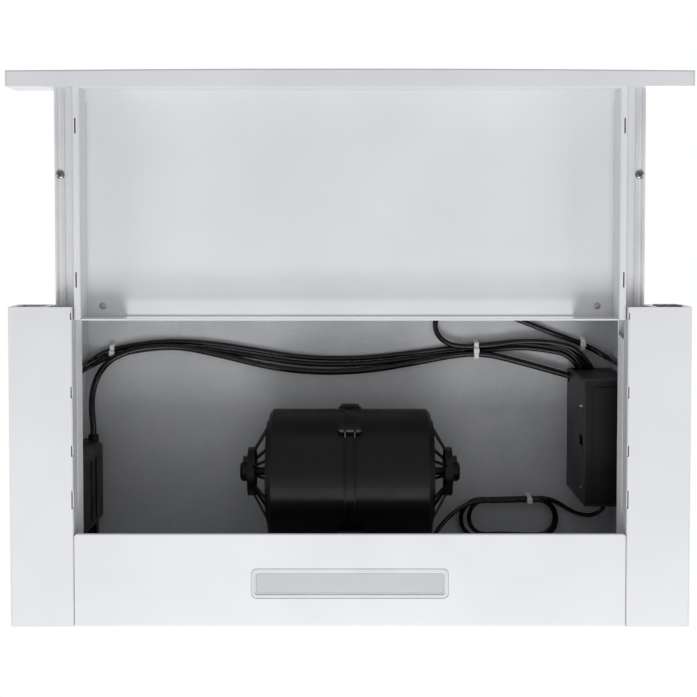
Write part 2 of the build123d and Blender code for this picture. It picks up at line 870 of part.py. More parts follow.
def blower_shell():
    """The right-hand half of the scroll, with its inlet, seam ears and the lugs of its neck."""
    shell = along_x(scroll(0, ceiling), (ring_half, shell_half))
    rim = shell.faces().sort_by(Axis.X)[-1].edges().filter_by(GeomType.CIRCLE)
    shell = chamfer(rim, shell_edge)
    for y, z in ear_places():
        shell += rod_x(ear_radius, (ring_half, ring_half + ear_length), y, z)
    neck_rear = scroll_point(360, 0)[0]
    lug_x = (neck_screw_x - neck_lug / 2, neck_screw_x + neck_lug / 2)
    lug_z = (ceiling - shell_wall, ceiling)
    shell += block(lug_x, (neck_rear - shell_wall / 2, neck_rear + neck_lug), lug_z)
    shell -= along_x(scroll(shell_wall, ceiling + 1), (ring_half - 1, shell_half - shell_wall))
    shell += block(lug_x, (neck_front + shell_wall / 2, neck_front + neck_lug), lug_z)
    shell -= rod_x(inlet_radius, (shell_half - 2 * shell_wall, shell_half + 1), blower_y, blower_z)
    holes = [rod_x(seam_screw + fit, (ring_half - 1, shell_half), y, z) for y, z in ear_places()]
    through = (ceiling - 2 * shell_wall, ceiling + 1)
    holes += [rod_z(screw_shank + fit, x, y, through) for x, y in neck_screws()]
    return shell - holes


def neck_screws():
    """The X and Y of the four screws that hold the neck of the blower to the ceiling."""
    rear = scroll_point(360, 0)[0] + neck_lug / 2
    front = neck_front + (neck_lug + shell_wall) / 2
    return [(x, y) for x in (-neck_screw_x, neck_screw_x) for y in (front, rear)]


def motor_ring():
    """The middle ring between the shells: band, seam ears, arms, motor clamp ring and front tab."""
    x = (-ring_half, ring_half)
    ring = along_x(scroll(-ring_proud, ceiling), x)
    groove = scroll(-ring_proud - 1, ceiling) - scroll(ring_groove_depth - ring_proud, ceiling)
    ring -= along_x(groove, (-ring_groove, ring_groove))
    for y, z in ear_places():
        ring += rod_x(ear_radius, x, y, z)
    tab_y = scroll_point(180, -ring_proud)[0]
    tab_z = (blower_z - 2, blower_z + tab_height)
    ring += block((-tab_half, tab_half), (tab_y - tab_proud, tab_y + free), tab_z)
    ring -= along_x(scroll(shell_wall, ceiling + 1), (x[0] - 1, x[1] + 1))
    clamp = about_shaft([(x[0], motor_radius + fit), (x[1], motor_radius + fit), (x[1], clamp_radius),
                         (x[0], clamp_radius)])
    arm = block((-arm_half, arm_half), (clamp_radius - 1, 2 * scroll_radius), (-arm_half, arm_half))
    inside = along_x(scroll(shell_wall / 2, ceiling - 1), x)
    for k in range(arm_count):
        turned = Pos(0, blower_y, blower_z) * Rot(X=arm_start + 360 / arm_count * k) * arm
        clamp += turned & inside
    holes = [rod_x(seam_screw + fit, (x[0] - 1, x[1] + 1), y, z) for y, z in ear_places()]
    return ring + clamp - holes


def seam_screw_set():
    """The screws through the seam ears, each with its head and its nut."""
    reach = ring_half + ear_length
    screws = []
    for y, z in ear_places():
        screw = bar_x(seam_screw, (-reach, reach), y, z)
        screw += bar_x(seam_head, (-reach - screw_head_height, -reach), y, z)
        nut = extrude(Plane.YZ * RegularPolygon(seam_head, 6), amount=screw_head_height)
        screws.append(screw + Pos(reach, y, z) * nut)
    return screws


def inlet_spider():
    """The right-hand inlet grille: foot ring, sloping ribs and the hub with its cap."""
    foot = [(shell_half, spider_inner), (shell_half, spider_outer)]
    foot += [(shell_half + rib_foot, spider_outer), (shell_half + rib_foot, spider_inner)]
    hub = [(hub_start, hub_radius - hub_wall), (hub_start, hub_radius), (hub_end, hub_radius)]
    hub += [(hub_end, cap_radius), (cap_end - hub_wall, cap_radius)]
    hub += [(cap_end, cap_radius - hub_wall), (cap_end, 0)]
    hub += [(cap_end - hub_wall, 0), (cap_end - hub_wall, shaft_radius + 1), (bearing_end, shaft_radius + 1)]
    hub += [(bearing_end, bearing_radius + fit), (hub_start, bearing_radius + fit)]
    hub += [(hub_start, bearing_radius + hub_wall), (hub_end - hub_wall, bearing_radius + hub_wall)]
    hub += [(hub_end - hub_wall, hub_radius - hub_wall)]
    spider = about_shaft(foot) + about_shaft(hub)
    rib = [(hub_start, hub_radius - hub_wall / 2), (hub_start + rib_foot, hub_radius - hub_wall / 2)]
    rib += [(shell_half + rib_foot, spider_outer - 2), (shell_half, spider_outer - 2)]
    blade = extrude(make_face(Polyline(*rib, close=True)), amount=rib_sheet / 2, both=True)
    for k in range(rib_count):
        spider += Pos(0, blower_y, blower_z) * Rot(X=360 / rib_count * (k + 0.5)) * blade
    tab_y = blower_y - cap_radius - cap_tab_reach
    return spider + block((hub_end - 1, hub_end + cap_tab_reach), (tab_y, blower_y - cap_radius + 1),
                          (blower_z - cap_tab_half, blower_z + cap_tab_half))


def bearing():
    """The right-hand plain bearing of the shaft."""
    return rod_x(bearing_radius, (hub_start, bearing_end), blower_y, blower_z) - rod_x(
        shaft_radius + fit, (hub_start - 1, bearing_end + 1), blower_y, blower_z)


def motor_stator():
    """The motor can, closed by an end shield on each side."""
    inner = motor_half - motor_wall
    section = [(-motor_half, shaft_radius + 1), (-motor_half, motor_radius), (motor_half, motor_radius)]
    section += [(motor_half, shaft_radius + 1), (inner, shaft_radius + 1), (inner, motor_radius - motor_wall)]
    section += [(-inner, motor_radius - motor_wall), (-inner, shaft_radius + 1)]
    return about_shaft(section)


def motor_rotor():
    """The rotor core on the shaft."""
    reach = motor_half - motor_wall - 3
    core = rod_x(motor_radius - motor_wall - 2, (-reach, reach), blower_y, blower_z)
    return core - rod_x(shaft_radius + fit, (-reach - 1, reach + 1), blower_y, blower_z)


def wheel_blade(lean):
    """The section of one bent blade of the fan wheel, turned by the angle lean."""
    inner = wheel_radius - blade_depth
    middle = wheel_radius - blade_depth / 2
    thick = math.degrees(blade_sheet / middle)
    bent = lean + blade_sweep / 4
    front = [polar(inner, lean), polar(middle, bent), polar(wheel_radius, lean + blade_sweep)]
    back = [polar(wheel_radius, lean + blade_sweep + thick), polar(middle, bent + thick)]
    back += [polar(inner, lean + thick)]
    return make_face(Polyline(*front, *back, close=True))


def impeller():
    """The right-hand fan wheel: hub, disc, forward-curved blades and the outer ring."""
    x = (motor_half + wheel_clear, shell_half - shell_wall - wheel_clear)
    web = (x[0] + wheel_web, x[0] + 2 * wheel_web)
    hub_rear = web[1] + wheel_web + 1
    disc = [(x[0], shaft_radius + fit), (x[0], wheel_hub), (web[0], wheel_hub), (web[0], wheel_radius)]
    disc += [(web[1], wheel_radius), (web[1], wheel_hub), (hub_rear, wheel_hub)]
    disc.append((hub_rear, shaft_radius + fit))
    inner = wheel_radius - blade_depth
    ring = [(x[1] - wheel_web, inner), (x[1] - wheel_web, wheel_radius), (x[1], wheel_radius), (x[1], inner)]
    sections = [wheel_blade(360 / blade_count * k) for k in range(blade_count)]
    blades = [along_x(section, (sum(web) / 2, x[1] - wheel_web / 2)) for section in sections]
    return about_shaft(disc) + about_shaft(ring) + blades


def duct_collar():
    """The round outlet spigot with its flange, the seat of the flaps and the holes of their pins."""
    inner = duct_radius - duct_wall
    seat = inner - flap_seat
    low = housing_top
    section = [(inner, low), (duct_radius + duct_flange, low), (duct_radius + duct_flange, low + duct_wall)]
    section += [(duct_radius, low + duct_wall), (duct_radius, low + duct_height), (inner, low + duct_height)]
    section += [(inner, flap_z - flap_sheet), (seat, flap_z - flap_sheet), (seat, low + duct_wall)]
    section += [(inner, low + duct_wall)]
    collar = Pos(0, outlet_y, 0) * revolve(Plane.XZ * make_face(Polyline(*section, close=True)), Axis.Z)
    reach = (-duct_radius - 1, duct_radius + 1)
    holes = [rod_x(flap_pin + fit, reach, outlet_y + side * flap_offset, flap_z) for side in (-1, 1)]
    holes += [rod_z(screw_shank + fit, x, y, (low - 1, low + duct_height)) for x, y in collar_screws()]
    return collar - holes


def collar_screws():
    """The X and Y of the four screws of the outlet flange."""
    reach = (duct_radius + duct_flange / 2) * math.sqrt(0.5)
    return [(x, outlet_y + y) for x in (-reach, reach) for y in (-reach, reach)]


def flap():
    """The rear half-disc flap with its barrel and its two pins."""
    radius = duct_radius - duct_wall - flap_clear
    hinge_y = outlet_y + flap_offset
    disc = rod_z(radius, 0, outlet_y, (flap_z - flap_sheet / 2, flap_z + flap_sheet / 2))
    plate_z = (flap_z - flap_sheet, flap_z + flap_sheet)
    plate = disc & block((-radius, radius), (hinge_y, outlet_y + radius), plate_z)
    plate += rod_x(flap_barrel, (-radius + flap_barrel, radius - flap_barrel), hinge_y, flap_z)
    return plate + rod_x(flap_pin, (-duct_radius + slip, duct_radius - slip), hinge_y, flap_z)


def sheet_screw(x, y, z, grip, sign):
    """A sheet screw along Z whose head lies at z and whose shank runs through the grip."""
    head = bar_z(screw_head, x, y, sorted((z, z - sign * screw_head_height)))
    return head + bar_z(screw_shank, x, y, sorted((z, z + sign * grip)))


def sheet_screw_set():
    """The screws of the ceiling: blower neck and control box from below, outlet flange from above."""
    screws = [sheet_screw(x, y, ceiling - shell_wall, shell_wall + sheet, 1) for x, y in neck_screws()]
    screws.append(sheet_screw(box_mid_x, box_mid_y, ceiling - box_wall, box_wall + sheet, 1))
    top = housing_top + duct_wall
    return screws + [sheet_screw(x, y, top, duct_wall + sheet, -1) for x, y in collar_screws()]


def control_box():
    """The open-bottomed box on the right-hand wall, with board posts, a seat for its lid and cable ways."""
    x = (wall_in - box_width, wall_in)
    z = (box_low, ceiling)
    box = fillet(block(x, (box_front, box_rear), z).edges().filter_by(Axis.Z), bend)
    hollow_x = (x[0] + box_wall, x[1] - box_wall)
    hollow_y = (box_front + box_wall, box_rear - box_wall)
    box -= block(hollow_x, hollow_y, (z[0] - 1, z[1] - box_wall))
    for px in (hollow_x[0] + post, hollow_x[1] - post):
        for py in (hollow_y[0] + post, hollow_y[1] - post):
            box += rod_z(post - play, px, py, (board_z + board_sheet, z[1] - box_wall / 2))
            box += block((px - post, px + post), (py - post, py + post), (lid_z + box_wall, board_z))
    side = (x[0] - 1, x[0] + box_wall + 1)
    ways = [rod_x(box_hole, side, y, lid_z - 1) for y in (box_front + 10, box_rear - 18)]
    slot_y = (box_mid_y - box_slot / 2, box_mid_y + box_slot / 2)
    ways.append(block(side, slot_y, (lid_z + box_wall + 2, lid_z + 24)))
    ways.append(block(side, (box_front + 2.5, box_front + 13), (z[1] - 15, z[1] - 5)))
    front = (box_front - 1, box_front + box_wall + 1)
    ways.append(block((x[0] + 3, x[0] + 27), front, (z[1] - 18, z[1] - 4)))
    way = lamp_route_in[0]
    ways.append(rod_y(lamp_diameter / 2 + free, way[0], (box_rear - box_wall - 1, box_rear + 1), way[2]))
    ways.append(rod_z(screw_shank + fit, box_mid_x, box_mid_y, (z[1] - 2 * box_wall, z[1] + 1)))
    return box - ways


def control_box_cover():
    """The lid of the control box, set back from its edge."""
    x = (wall_in - box_width + box_wall + slip, wall_in - box_wall - slip)
    y = (box_front + box_wall + slip, box_rear - box_wall - slip)
    cover = block(x, y, (lid_z, lid_z + box_wall))
    panel = block((x[0] + 6, x[1] - 6), (y[0] + 6, y[1] - 6), (lid_z - 1, lid_z))
    return cover + fillet(panel.edges().filter_by(Axis.Z), bend)


def control_board():
    """The circuit board with transformer, relays, coil, terminals and small parts on it."""
    x = (wall_in - box_width + box_wall + slip, wall_in - box_wall - slip)
    y = (box_front + box_wall + slip, box_rear - box_wall - slip)
    board = block(x, y, (board_z, board_z + board_sheet))
    top = board_z + board_sheet
    boxes = [(x[0] + transformer_from[0], y[0] + transformer_from[1], transformer_size)]
    for k in range(relay_count):
        boxes.append((x[0] + relay_from[0] + relay_step * k, y[0] + relay_from[1], relay_size))
    for k in range(socket_count):
        boxes.append((x[0] + socket_from[0] + socket_step * k, y[1] - socket_from[1], socket_size))
    for px, py, size in boxes:
        board += block((px, px + size[0]), (py, py + size[1]), (top, top + size[2]))
    return board + rod_z(coil_radius, x[0] + coil_from[0], y[0] + coil_from[1], (top, top + coil_high))


def motor_capacitor():
    """The run capacitor of the motor, a short cylinder with two blade terminals, under the box roof."""
    z = ceiling - box_wall - capacitor_radius - slip
    rear = box_rear - box_wall - 2 * post - slip
    y = (rear - capacitor_length, rear)
    can = rod_y(capacitor_radius, box_mid_x - capacitor_shift, y, z)
    can = chamfer(can.edges().group_by(Axis.Y)[-1], 1.5)
    for side in (-1, 1):
        x = box_mid_x - capacitor_shift + side * capacitor_radius / 2
        tab_x = (x - capacitor_tab / 2, x + capacitor_tab / 2)
        can += block(tab_x, (y[0] - capacitor_tab_length, y[0] + 1), (z - post, z + post))
    return can


def terminal_box():
    """The mains terminal box on the left-hand wall: chamfered case, two ribs, foot and cable spigot."""
    x = (-wall_in, terminal_depth - wall_in)
    case = block(x, (terminal_front, terminal_rear), (terminal_low, terminal_high))
    free_edges = case.edges().filter_by(Axis.Z).group_by(Axis.X)[-1]
    case = chamfer(free_edges, terminal_chamfer)
    for z in (terminal_low + terminal_rib_low, terminal_low + terminal_rib_high):
        rib_y = (terminal_front + 2 * terminal_chamfer, terminal_rear - 2 * terminal_chamfer)
        case += block((x[1] - sheet, x[1] + sheet), rib_y, (z, z + 2 * sheet))
    foot_top = terminal_high - foot_below_top
    foot_y = (terminal_rear - 1, terminal_rear + foot_length)
    foot = block((x[0], x[1] - foot_thinner), foot_y, (foot_top - foot_high, foot_top))
    case += fillet(foot.edges().filter_by(Axis.X).group_by(Axis.Y)[-1], bend)
    collar = (terminal_front - spigot_length, terminal_front + 1)
    case += rod_y(supply_diameter / 2 + spigot_wall, lead_x, collar, lead_z)
    bore = (collar[0] - 1, terminal_front)
    return case - rod_y(supply_diameter / 2 + slip, lead_x, bore, lead_z)


def cable_gland():
    """The screwed inlet of the mains lead in the back wall: body, hexagon inside and lock nut outside."""
    thread = rod_y(gland_thread, gland_x, (house_in_y, house_y), gland_z)
    outside = rod_y(gland_body, gland_x, (house_y, half_depth - free), gland_z)
    hexagon = extrude(Plane.XZ * RegularPolygon(gland_body, 6), amount=gland_nut)
    inside = Pos(gland_x, house_in_y, gland_z) * hexagon
    dome = rod_y(gland_body - 2, gland_x, (house_in_y - gland_dome, house_in_y - gland_nut), gland_z)
    dome = chamfer(dome.edges().group_by(Axis.Y)[0], 3)
    bore = rod_y(gland_bore, gland_x, (house_in_y - gland_dome - 1, half_depth + 1), gland_z)
    return thread + outside + inside + dome - bore


def switch_window():
    """The window in the front flap of the right-hand column for the switch housing."""
    x = (switch_x - switch_width / 2 - fit, switch_x + switch_width / 2 + fit)
    z = (switch_z - switch_height / 2 - fit, switch_z + switch_height / 2 + fit)
    return block(x, (-half_depth - 1, 2 * sheet - half_depth), z)


def switch_case():
    """The right-hand switch housing: a moulded block with a flange behind the front flap."""
    x = (switch_x - switch_width / 2, switch_x + switch_width / 2)
    z = (switch_z - switch_height / 2, switch_z + switch_height / 2)
    case = block(x, (-half_depth, switch_length - half_depth), z)
    case = fillet(case.edges().filter_by(Axis.Y), 1.5)
    flange_y = (sheet - half_depth, 2.5 * sheet - half_depth)
    case += block((x[0] - sheet, x[1] + 2 * sheet), flange_y, (z[0] - 2 * sheet, z[1] + 2 * sheet))
    return case


def button_place(k):
    """The middle X of a speed button."""
    return switch_x + button_pitch * (k - (button_count - 1) / 2)


def speed_switch():
    """The speed switch: its housing with a well for each button."""
    case = switch_case()
    for k in range(button_count):
        x = button_place(k)
        well_x = (x - button_width / 2 - free / 2, x + button_width / 2 + free / 2)
        well_z = (switch_z - button_height / 2 - free / 2, switch_z + button_height / 2 + free / 2)
        case -= block(well_x, (-half_depth - 1, button_length + button_travel - half_depth), well_z)
    return case


def speed_button(k):
    """A push button of the speed switch, with a dished front."""
    x = button_place(k)
    y = (-half_depth - button_proud, button_length - button_proud - half_depth)
    z = (switch_z - button_height / 2, switch_z + button_height / 2)
    button = block((x - button_width / 2, x + button_width / 2), y, z)
    button = fillet(button.edges().filter_by(Axis.Y), 0.8)
    dish_x = (x - button_width, x + button_width)
    return button - rod_x(dish_radius, dish_x, y[0] - dish_radius + dish_depth, switch_z)


def light_switch():
    """The light switch: the housing of the left-hand column with the well and pivot holes of its rocker."""
    case = mirror(switch_case(), about=Plane.YZ)
    x = (-switch_x - rocker_width / 2 - free / 2, -switch_x + rocker_width / 2 + free / 2)
    well_z = (switch_z - rocker_height / 2 - 1, switch_z + rocker_height / 2 + 1)
    case -= block(x, (-half_depth - 1, rocker_depth + 2 - half_depth), well_z)
    return case - rod_x(rocker_pin + fit, (x[0] - 2, x[1] + 2), rocker_pivot_y, switch_z)


def light_rocker():
    """The rocker of the light switch: a key with a bent front, rounded behind, on two pins."""
    front = -half_depth
    half = rocker_height / 2
    middle = front + rocker_depth / 2
    outline = Polyline((front, half), (front + rocker_dip, 0), (front, -half), (middle, -half))
    back = ThreePointArc((middle, -half), (front + rocker_depth, 0), (middle, half))
    closing = Line((middle, half), (front, half))
    section = Pos(0, switch_z) * make_face(outline.edges() + back.edges() + closing.edges())
    rocker = along_x(section, (-switch_x - rocker_width / 2, -switch_x + rocker_width / 2))
    reach = rocker_width / 2 + free / 2 + 1.5
    return rocker + rod_x(rocker_pin, (-switch_x - reach, reach - switch_x), rocker_pivot_y, switch_z)


def bend_radii(points):
    """The radius at each corner of a route: 0.45 of the shorter run over the tangent of half the turn."""
    runs = [after - before for before, after in zip(points, points[1:])]
    radii = []
    for before, after in zip(runs, runs[1:]):
        turn = math.radians(before.get_angle(after))
        radii.append(0.45 * min(before.length, after.length) / math.tan(turn / 2))
    return radii


def route_edges(route):
    """The centre line of a hand-laid cable: straight runs joined by tangent arcs."""
    points = [Vector(*point) for point in route]
    return FilletPolyline(*points, radius=bend_radii(points)).edges()


def tube(edges, diameter, name):
    """Sweep a six-sided section along a centre line, and print its least radius and its volume."""
    path = Wire(edges)
    start = Plane(origin=path @ 0, z_dir=path % 0)
    section = start * RegularPolygon(diameter / 2, tube_sides, major_radius=True)
    solid = sweep(section, path=path)
    expected = section.area * path.length
    arcs = [edge.radius for edge in path.edges() if edge.geom_type == GeomType.CIRCLE]
    print(name, "length", round(path.length), "least radius", round(min(arcs), 1),
          "volume share", round(solid.volume / expected, 4))
    return solid


def down_wall(side, y, depth):
    """The hidden end of a switch cable: down the inside of the wall, out through it and to the switch."""
    out = wall_out + slip + wire_diameter / 2 + 1.7
    inside = wall_in - wire_diameter / 2 - 1.2
    low = switch_z + depth
    points = [(inside, y - 0.4, 104), (inside + 0.2, y, 74), (inside, y + 0.3, 45), (inside, y, 28)]
    points += [(out, y, 8), (out + 0.2, y - 0.2, low + 12.5), (out + 0.9, y - 4.6, low + 4.4)]
    rear = switch_length - half_depth
    points += [(out + 3.4, y - 12.4, low), (switch_x, rear + 11, low), (switch_x, rear, low)]
    return [(side * px, py, pz) for px, py, pz in points]


def switch_route(inside, side, depth):
    """The whole route of a switch cable, from the switch to the far end of its visible stretch."""
    return list(reversed(down_wall(side, inside[0][1] + 0.2, depth))) + inside


def climb(start, end):
    """A level start and a level end joined by two arcs in an upright plane."""
    run = end - start
    flat = Vector(run.X, run.Y, 0)
    ahead = flat.normalized()
    radius = run.dot(run) / (4 * run.Z)
    turn = 2 * math.atan2(run.Z, flat.length)
    rise = Vector(0, 0, radius * (1 - math.cos(turn / 2)))
    step = ahead * (radius * math.sin(turn / 2))
    middle = start + run * 0.5
    return [ThreePointArc(start, start + step + rise, middle), ThreePointArc(middle, end - step - rise, end)]


def hank_edges():
    """Loops of the spare lamp cable: each a long oval, one below the other, joined along the tied run."""
    edges = []
    for k in range(hank_loops):
        radius = hank_radius - hank_shrink * k
        level = hank_level - hank_step * k
        left = hank_left + hank_shrink * 2 * k
        start = Vector(hank_right, hank_y, level)
        end = Vector(left, hank_y, level - hank_step)
        edges += climb(start, end)
        if k == hank_loops - 1:
            return edges, end
        far = end + Vector(0, 2 * radius, 0)
        edges.append(ThreePointArc(end, end + Vector(-radius, radius, 0), far))
        back = Vector(hank_right, far.Y, far.Z)
        edges.append(Line(far, back))
        turned = Vector(hank_right, hank_y, far.Z)
        edges.append(ThreePointArc(back, (back + turned) * 0.5 + Vector(radius, 0, 0), turned))
    return edges, end


def least_self_gap(edges, diameter):
    """The least clear distance between loops of the hank, measured on points of its centre line."""
    path = Wire(edges)
    count = int(path.length / 1.5)
    points = [path @ (k / count) for k in range(count + 1)]
    skip = int(4 * diameter / 1.5)
    gaps = [(points[i] - points[j]).length for i in range(count) for j in range(i + skip, count + 1)]
    return min(gaps) - diameter


def lamp_cable():
    """The lead of the lamp: from the control box, through its hank, and down to the light strip."""
    loops, end = hank_edges()
    start = Vector(hank_right, hank_y, hank_level)
    entry = [Vector(*point) for point in lamp_route_in]
    entry += [start + Vector(16, 0, 0), start]
    leave = [end, end + Vector(-16, 0, 0)] + [Vector(*point) for point in lamp_route_out]
    leave.append(Vector(socket_x, lamp_y, under + lamp_height + socket_height))
    entry_path = FilletPolyline(*entry, radius=bend_radii(entry)).edges()
    leave_path = FilletPolyline(*leave, radius=bend_radii(leave)).edges()
    print("hank gap", round(least_self_gap(loops, lamp_diameter), 2))
    return tube(list(entry_path) + loops + list(leave_path), lamp_diameter, "lamp_cable")


def clip(x, y, low, width):
    """A white strap: round the cables from the ceiling, with a foot on each side."""
    left = y[0] - clip_sheet
    right = y[1] + clip_sheet
    top = ceiling - clip_sheet
    path = [(left - clip_foot, top), (left, top), (left, low - clip_sheet)]
    path += [(right, low - clip_sheet), (right, top), (right + clip_foot, top)]
    return along_x(strip(path, clip_sheet), (x - width / 2, x + width / 2))


def cable_clips():
    """All straps that hold the cables to the ceiling."""
    light_low = wire_high - wire_diameter / 2 - sheet
    low = supply_level - supply_diameter / 2 - slip
    full = (tie_y - tie_half, tie_y + tie_half)
    pair = (first_tie_y - tie_half, first_tie_y + tie_half)
    single = (speed_clip_y - speed_clip_half, speed_clip_y + speed_clip_half)
    hank_low = hank_level - hank_step * (hank_loops - 1) - lamp_diameter / 2 - play
    hank = (hank_y - lamp_diameter / 2 - slip, hank_y + lamp_diameter / 2 + slip)
    clips = [clip(first_tie_x, pair, light_low, clip_width), clip(tie_x, full, low, clip_width)]
    clips.append(clip(speed_clip_x, single, light_low, clip_width))
    clips.append(clip(hank_tie_x, hank, hank_low, clip_width))
    return clips


def nodes():
    """Every piece by name; identical fasteners share one name."""
    pieces = {
        "upper_housing": upper_housing(),
        "inner_frame": inner_frame(),
        "lamp_panel": lamp_panel(),
        "lamp_frame": lamp_frame(),
        "lamp_lens": lamp_lens(),
        "led_board": led_board(),
        "sheet_screws": sheet_screw_set(),
        "flange_nuts": [flange_nut(x, y) for x in (-nut_x, nut_x) for y in (-nut_y, nut_y)],
        "motor_ring": motor_ring(),
        "motor_stator": motor_stator(),
        "motor_rotor": motor_rotor(),
        "motor_shaft": rod_x(shaft_radius, (-shaft_half, shaft_half), blower_y, blower_z),
        "seam_screws": seam_screw_set(),
        "duct_collar": duct_collar(),
        "control_box": control_box(),
        "control_box_cover": control_box_cover(),
        "control_board": control_board(),
        "motor_capacitor": motor_capacitor(),
        "terminal_box": terminal_box(),
        "cable_gland": cable_gland(),
        "speed_switch": speed_switch(),
        "light_switch": light_switch(),
        "light_rocker": light_rocker(),
        "drawer_pan": drawer_pan(),
        "fascia_shell": fascia_shell(),
        "fascia_back_plate": fascia_back_plate(),
        "fascia_end_caps": both(fascia_cap()),
        "drawer_screws": both(slide_screw()) + both(fascia_screw()),
        "drawer_rivets": [rivet(x) for x in rivet_xs],
        "slide_balls": slide_balls(),
        "supply_cable": tube(route_edges(supply_route), supply_diameter, "supply_cable"),
        "lamp_cable": lamp_cable(),
        "cable_clips": cable_clips(),
    }
    for name, (inside, side, depth) in switch_cables.items():
        pieces[name] = tube(route_edges(switch_route(inside, side, depth)), wire_diameter, name)
    pairs = {
        "column_cover": column_cover(),
        "slide_outer": slide_outer(),
        "slide_inner": slide_inner(),
        "ball_cage": ball_cage(),
        "blower_shell": blower_shell(),
        "inlet_spider": inlet_spider(),
        "bearing": bearing(),
        "impeller": impeller(),
    }
    for name, right in pairs.items():
        pieces[name + "_right"], pieces[name + "_left"] = both(right)
    front_flap = Pos(0, outlet_y) * Rot(0, 0, 180) * Pos(0, -outlet_y) * flap()
    pieces["flap_rear"] = flap()
    pieces["flap_front"] = front_flap
    for k in range(button_count):
        pieces[f"speed_button_{k + 1}"] = speed_button(k)
    return pieces


os.makedirs("parts", exist_ok=True)
for name, piece in nodes().items():
    shape = Compound(children=piece) if isinstance(piece, list) else piece
    export_step(shape, f"parts/{name}.step")
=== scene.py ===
"""Telescopic range hood, seen from straight below with its drawer out.

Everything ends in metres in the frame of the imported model: +Z goes up towards the duct, -Y towards
the room, and z = 0 is the plane that bears on the cabinet. The sheet metal, the fan and the drawer
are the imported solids. This file gives them their finishes, and adds the cables and their ties, the
screws, the rivets and the ridges of the blower's seam. Their sizes are written in millimetres, and
those of the studio in metres.
"""

import json
import logging
import math
from dataclasses import dataclass, field
from enum import Enum
from typing import Sequence

import bmesh
import bpy
from mathutils import Matrix, Vector


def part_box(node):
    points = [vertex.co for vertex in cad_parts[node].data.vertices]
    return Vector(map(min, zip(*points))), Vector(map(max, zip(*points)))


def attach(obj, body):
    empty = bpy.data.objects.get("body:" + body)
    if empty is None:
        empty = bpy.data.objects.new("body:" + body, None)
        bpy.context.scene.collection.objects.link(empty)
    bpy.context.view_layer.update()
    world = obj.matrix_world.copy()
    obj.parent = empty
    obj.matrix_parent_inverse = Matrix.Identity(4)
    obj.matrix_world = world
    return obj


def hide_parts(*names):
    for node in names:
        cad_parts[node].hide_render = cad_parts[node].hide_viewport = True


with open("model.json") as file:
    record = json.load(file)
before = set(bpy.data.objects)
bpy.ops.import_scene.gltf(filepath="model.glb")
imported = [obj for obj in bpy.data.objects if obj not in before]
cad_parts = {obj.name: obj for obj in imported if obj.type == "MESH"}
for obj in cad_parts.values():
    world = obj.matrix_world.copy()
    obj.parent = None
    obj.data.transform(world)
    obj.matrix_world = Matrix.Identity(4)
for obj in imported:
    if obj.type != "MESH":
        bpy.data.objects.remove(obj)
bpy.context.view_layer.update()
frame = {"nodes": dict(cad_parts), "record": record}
MM = 0.001

# Corners nearer than this, in metres, are one
WELD = 1e-6
# Edges that turn by more degrees than this are drawn sharp
SHARP_ANGLE = 32.0
# Most of a noise texture lies between these values
NOISE_LOW, NOISE_HIGH = 0.3, 0.7
# The period of a wave texture of scale 1, in metres
WAVE_PERIOD = math.pi / 10

Point = tuple[float, float, float]
Node = bpy.types.Node
Socket = bpy.types.NodeSocket
Sockets = bpy.types.bpy_prop_collection
Tree = bpy.types.NodeTree

log = logging.getLogger("range_hood")


def linear(code: str) -> tuple[float, float, float, float]:
    """Turn an sRGB hex colour into a linear colour with full alpha.

    Args:
        code: The colour as "#rrggbb".

    Returns:
        Red, green, blue and alpha, from 0 to 1.
    """
    parts = [int(code[i:i + 2], 16) / 255 for i in (1, 3, 5)]
    return tuple(c / 12.92 if c <= 0.04045 else ((c + 0.055) / 1.055) ** 2.4
                 for c in parts) + (1.0,)


def add_node(tree: Tree, kind: str, settings: dict | None = None,
             inputs: dict | None = None) -> Node:
    """Add a node with its settings, and its inputs set or linked.

    Args:
        tree: The node tree that gets the node.
        kind: The node's type name.
        settings: Attributes of the node and their values.
        inputs: Input names or numbers, each with a value, the socket it is linked to, or a list
            of sockets.

    Returns:
        The new node.
    """
    node = tree.nodes.new(kind)
    for name, value in (settings or {}).items():
        setattr(node, name, value)
    for name, value in (inputs or {}).items():
        if isinstance(value, Socket):
            tree.links.new(value, node.inputs[name])
        elif isinstance(value, list):
            for socket in value:
                tree.links.new(socket, node.inputs[name])
        else:
            node.inputs[name].default_value = value
    return node


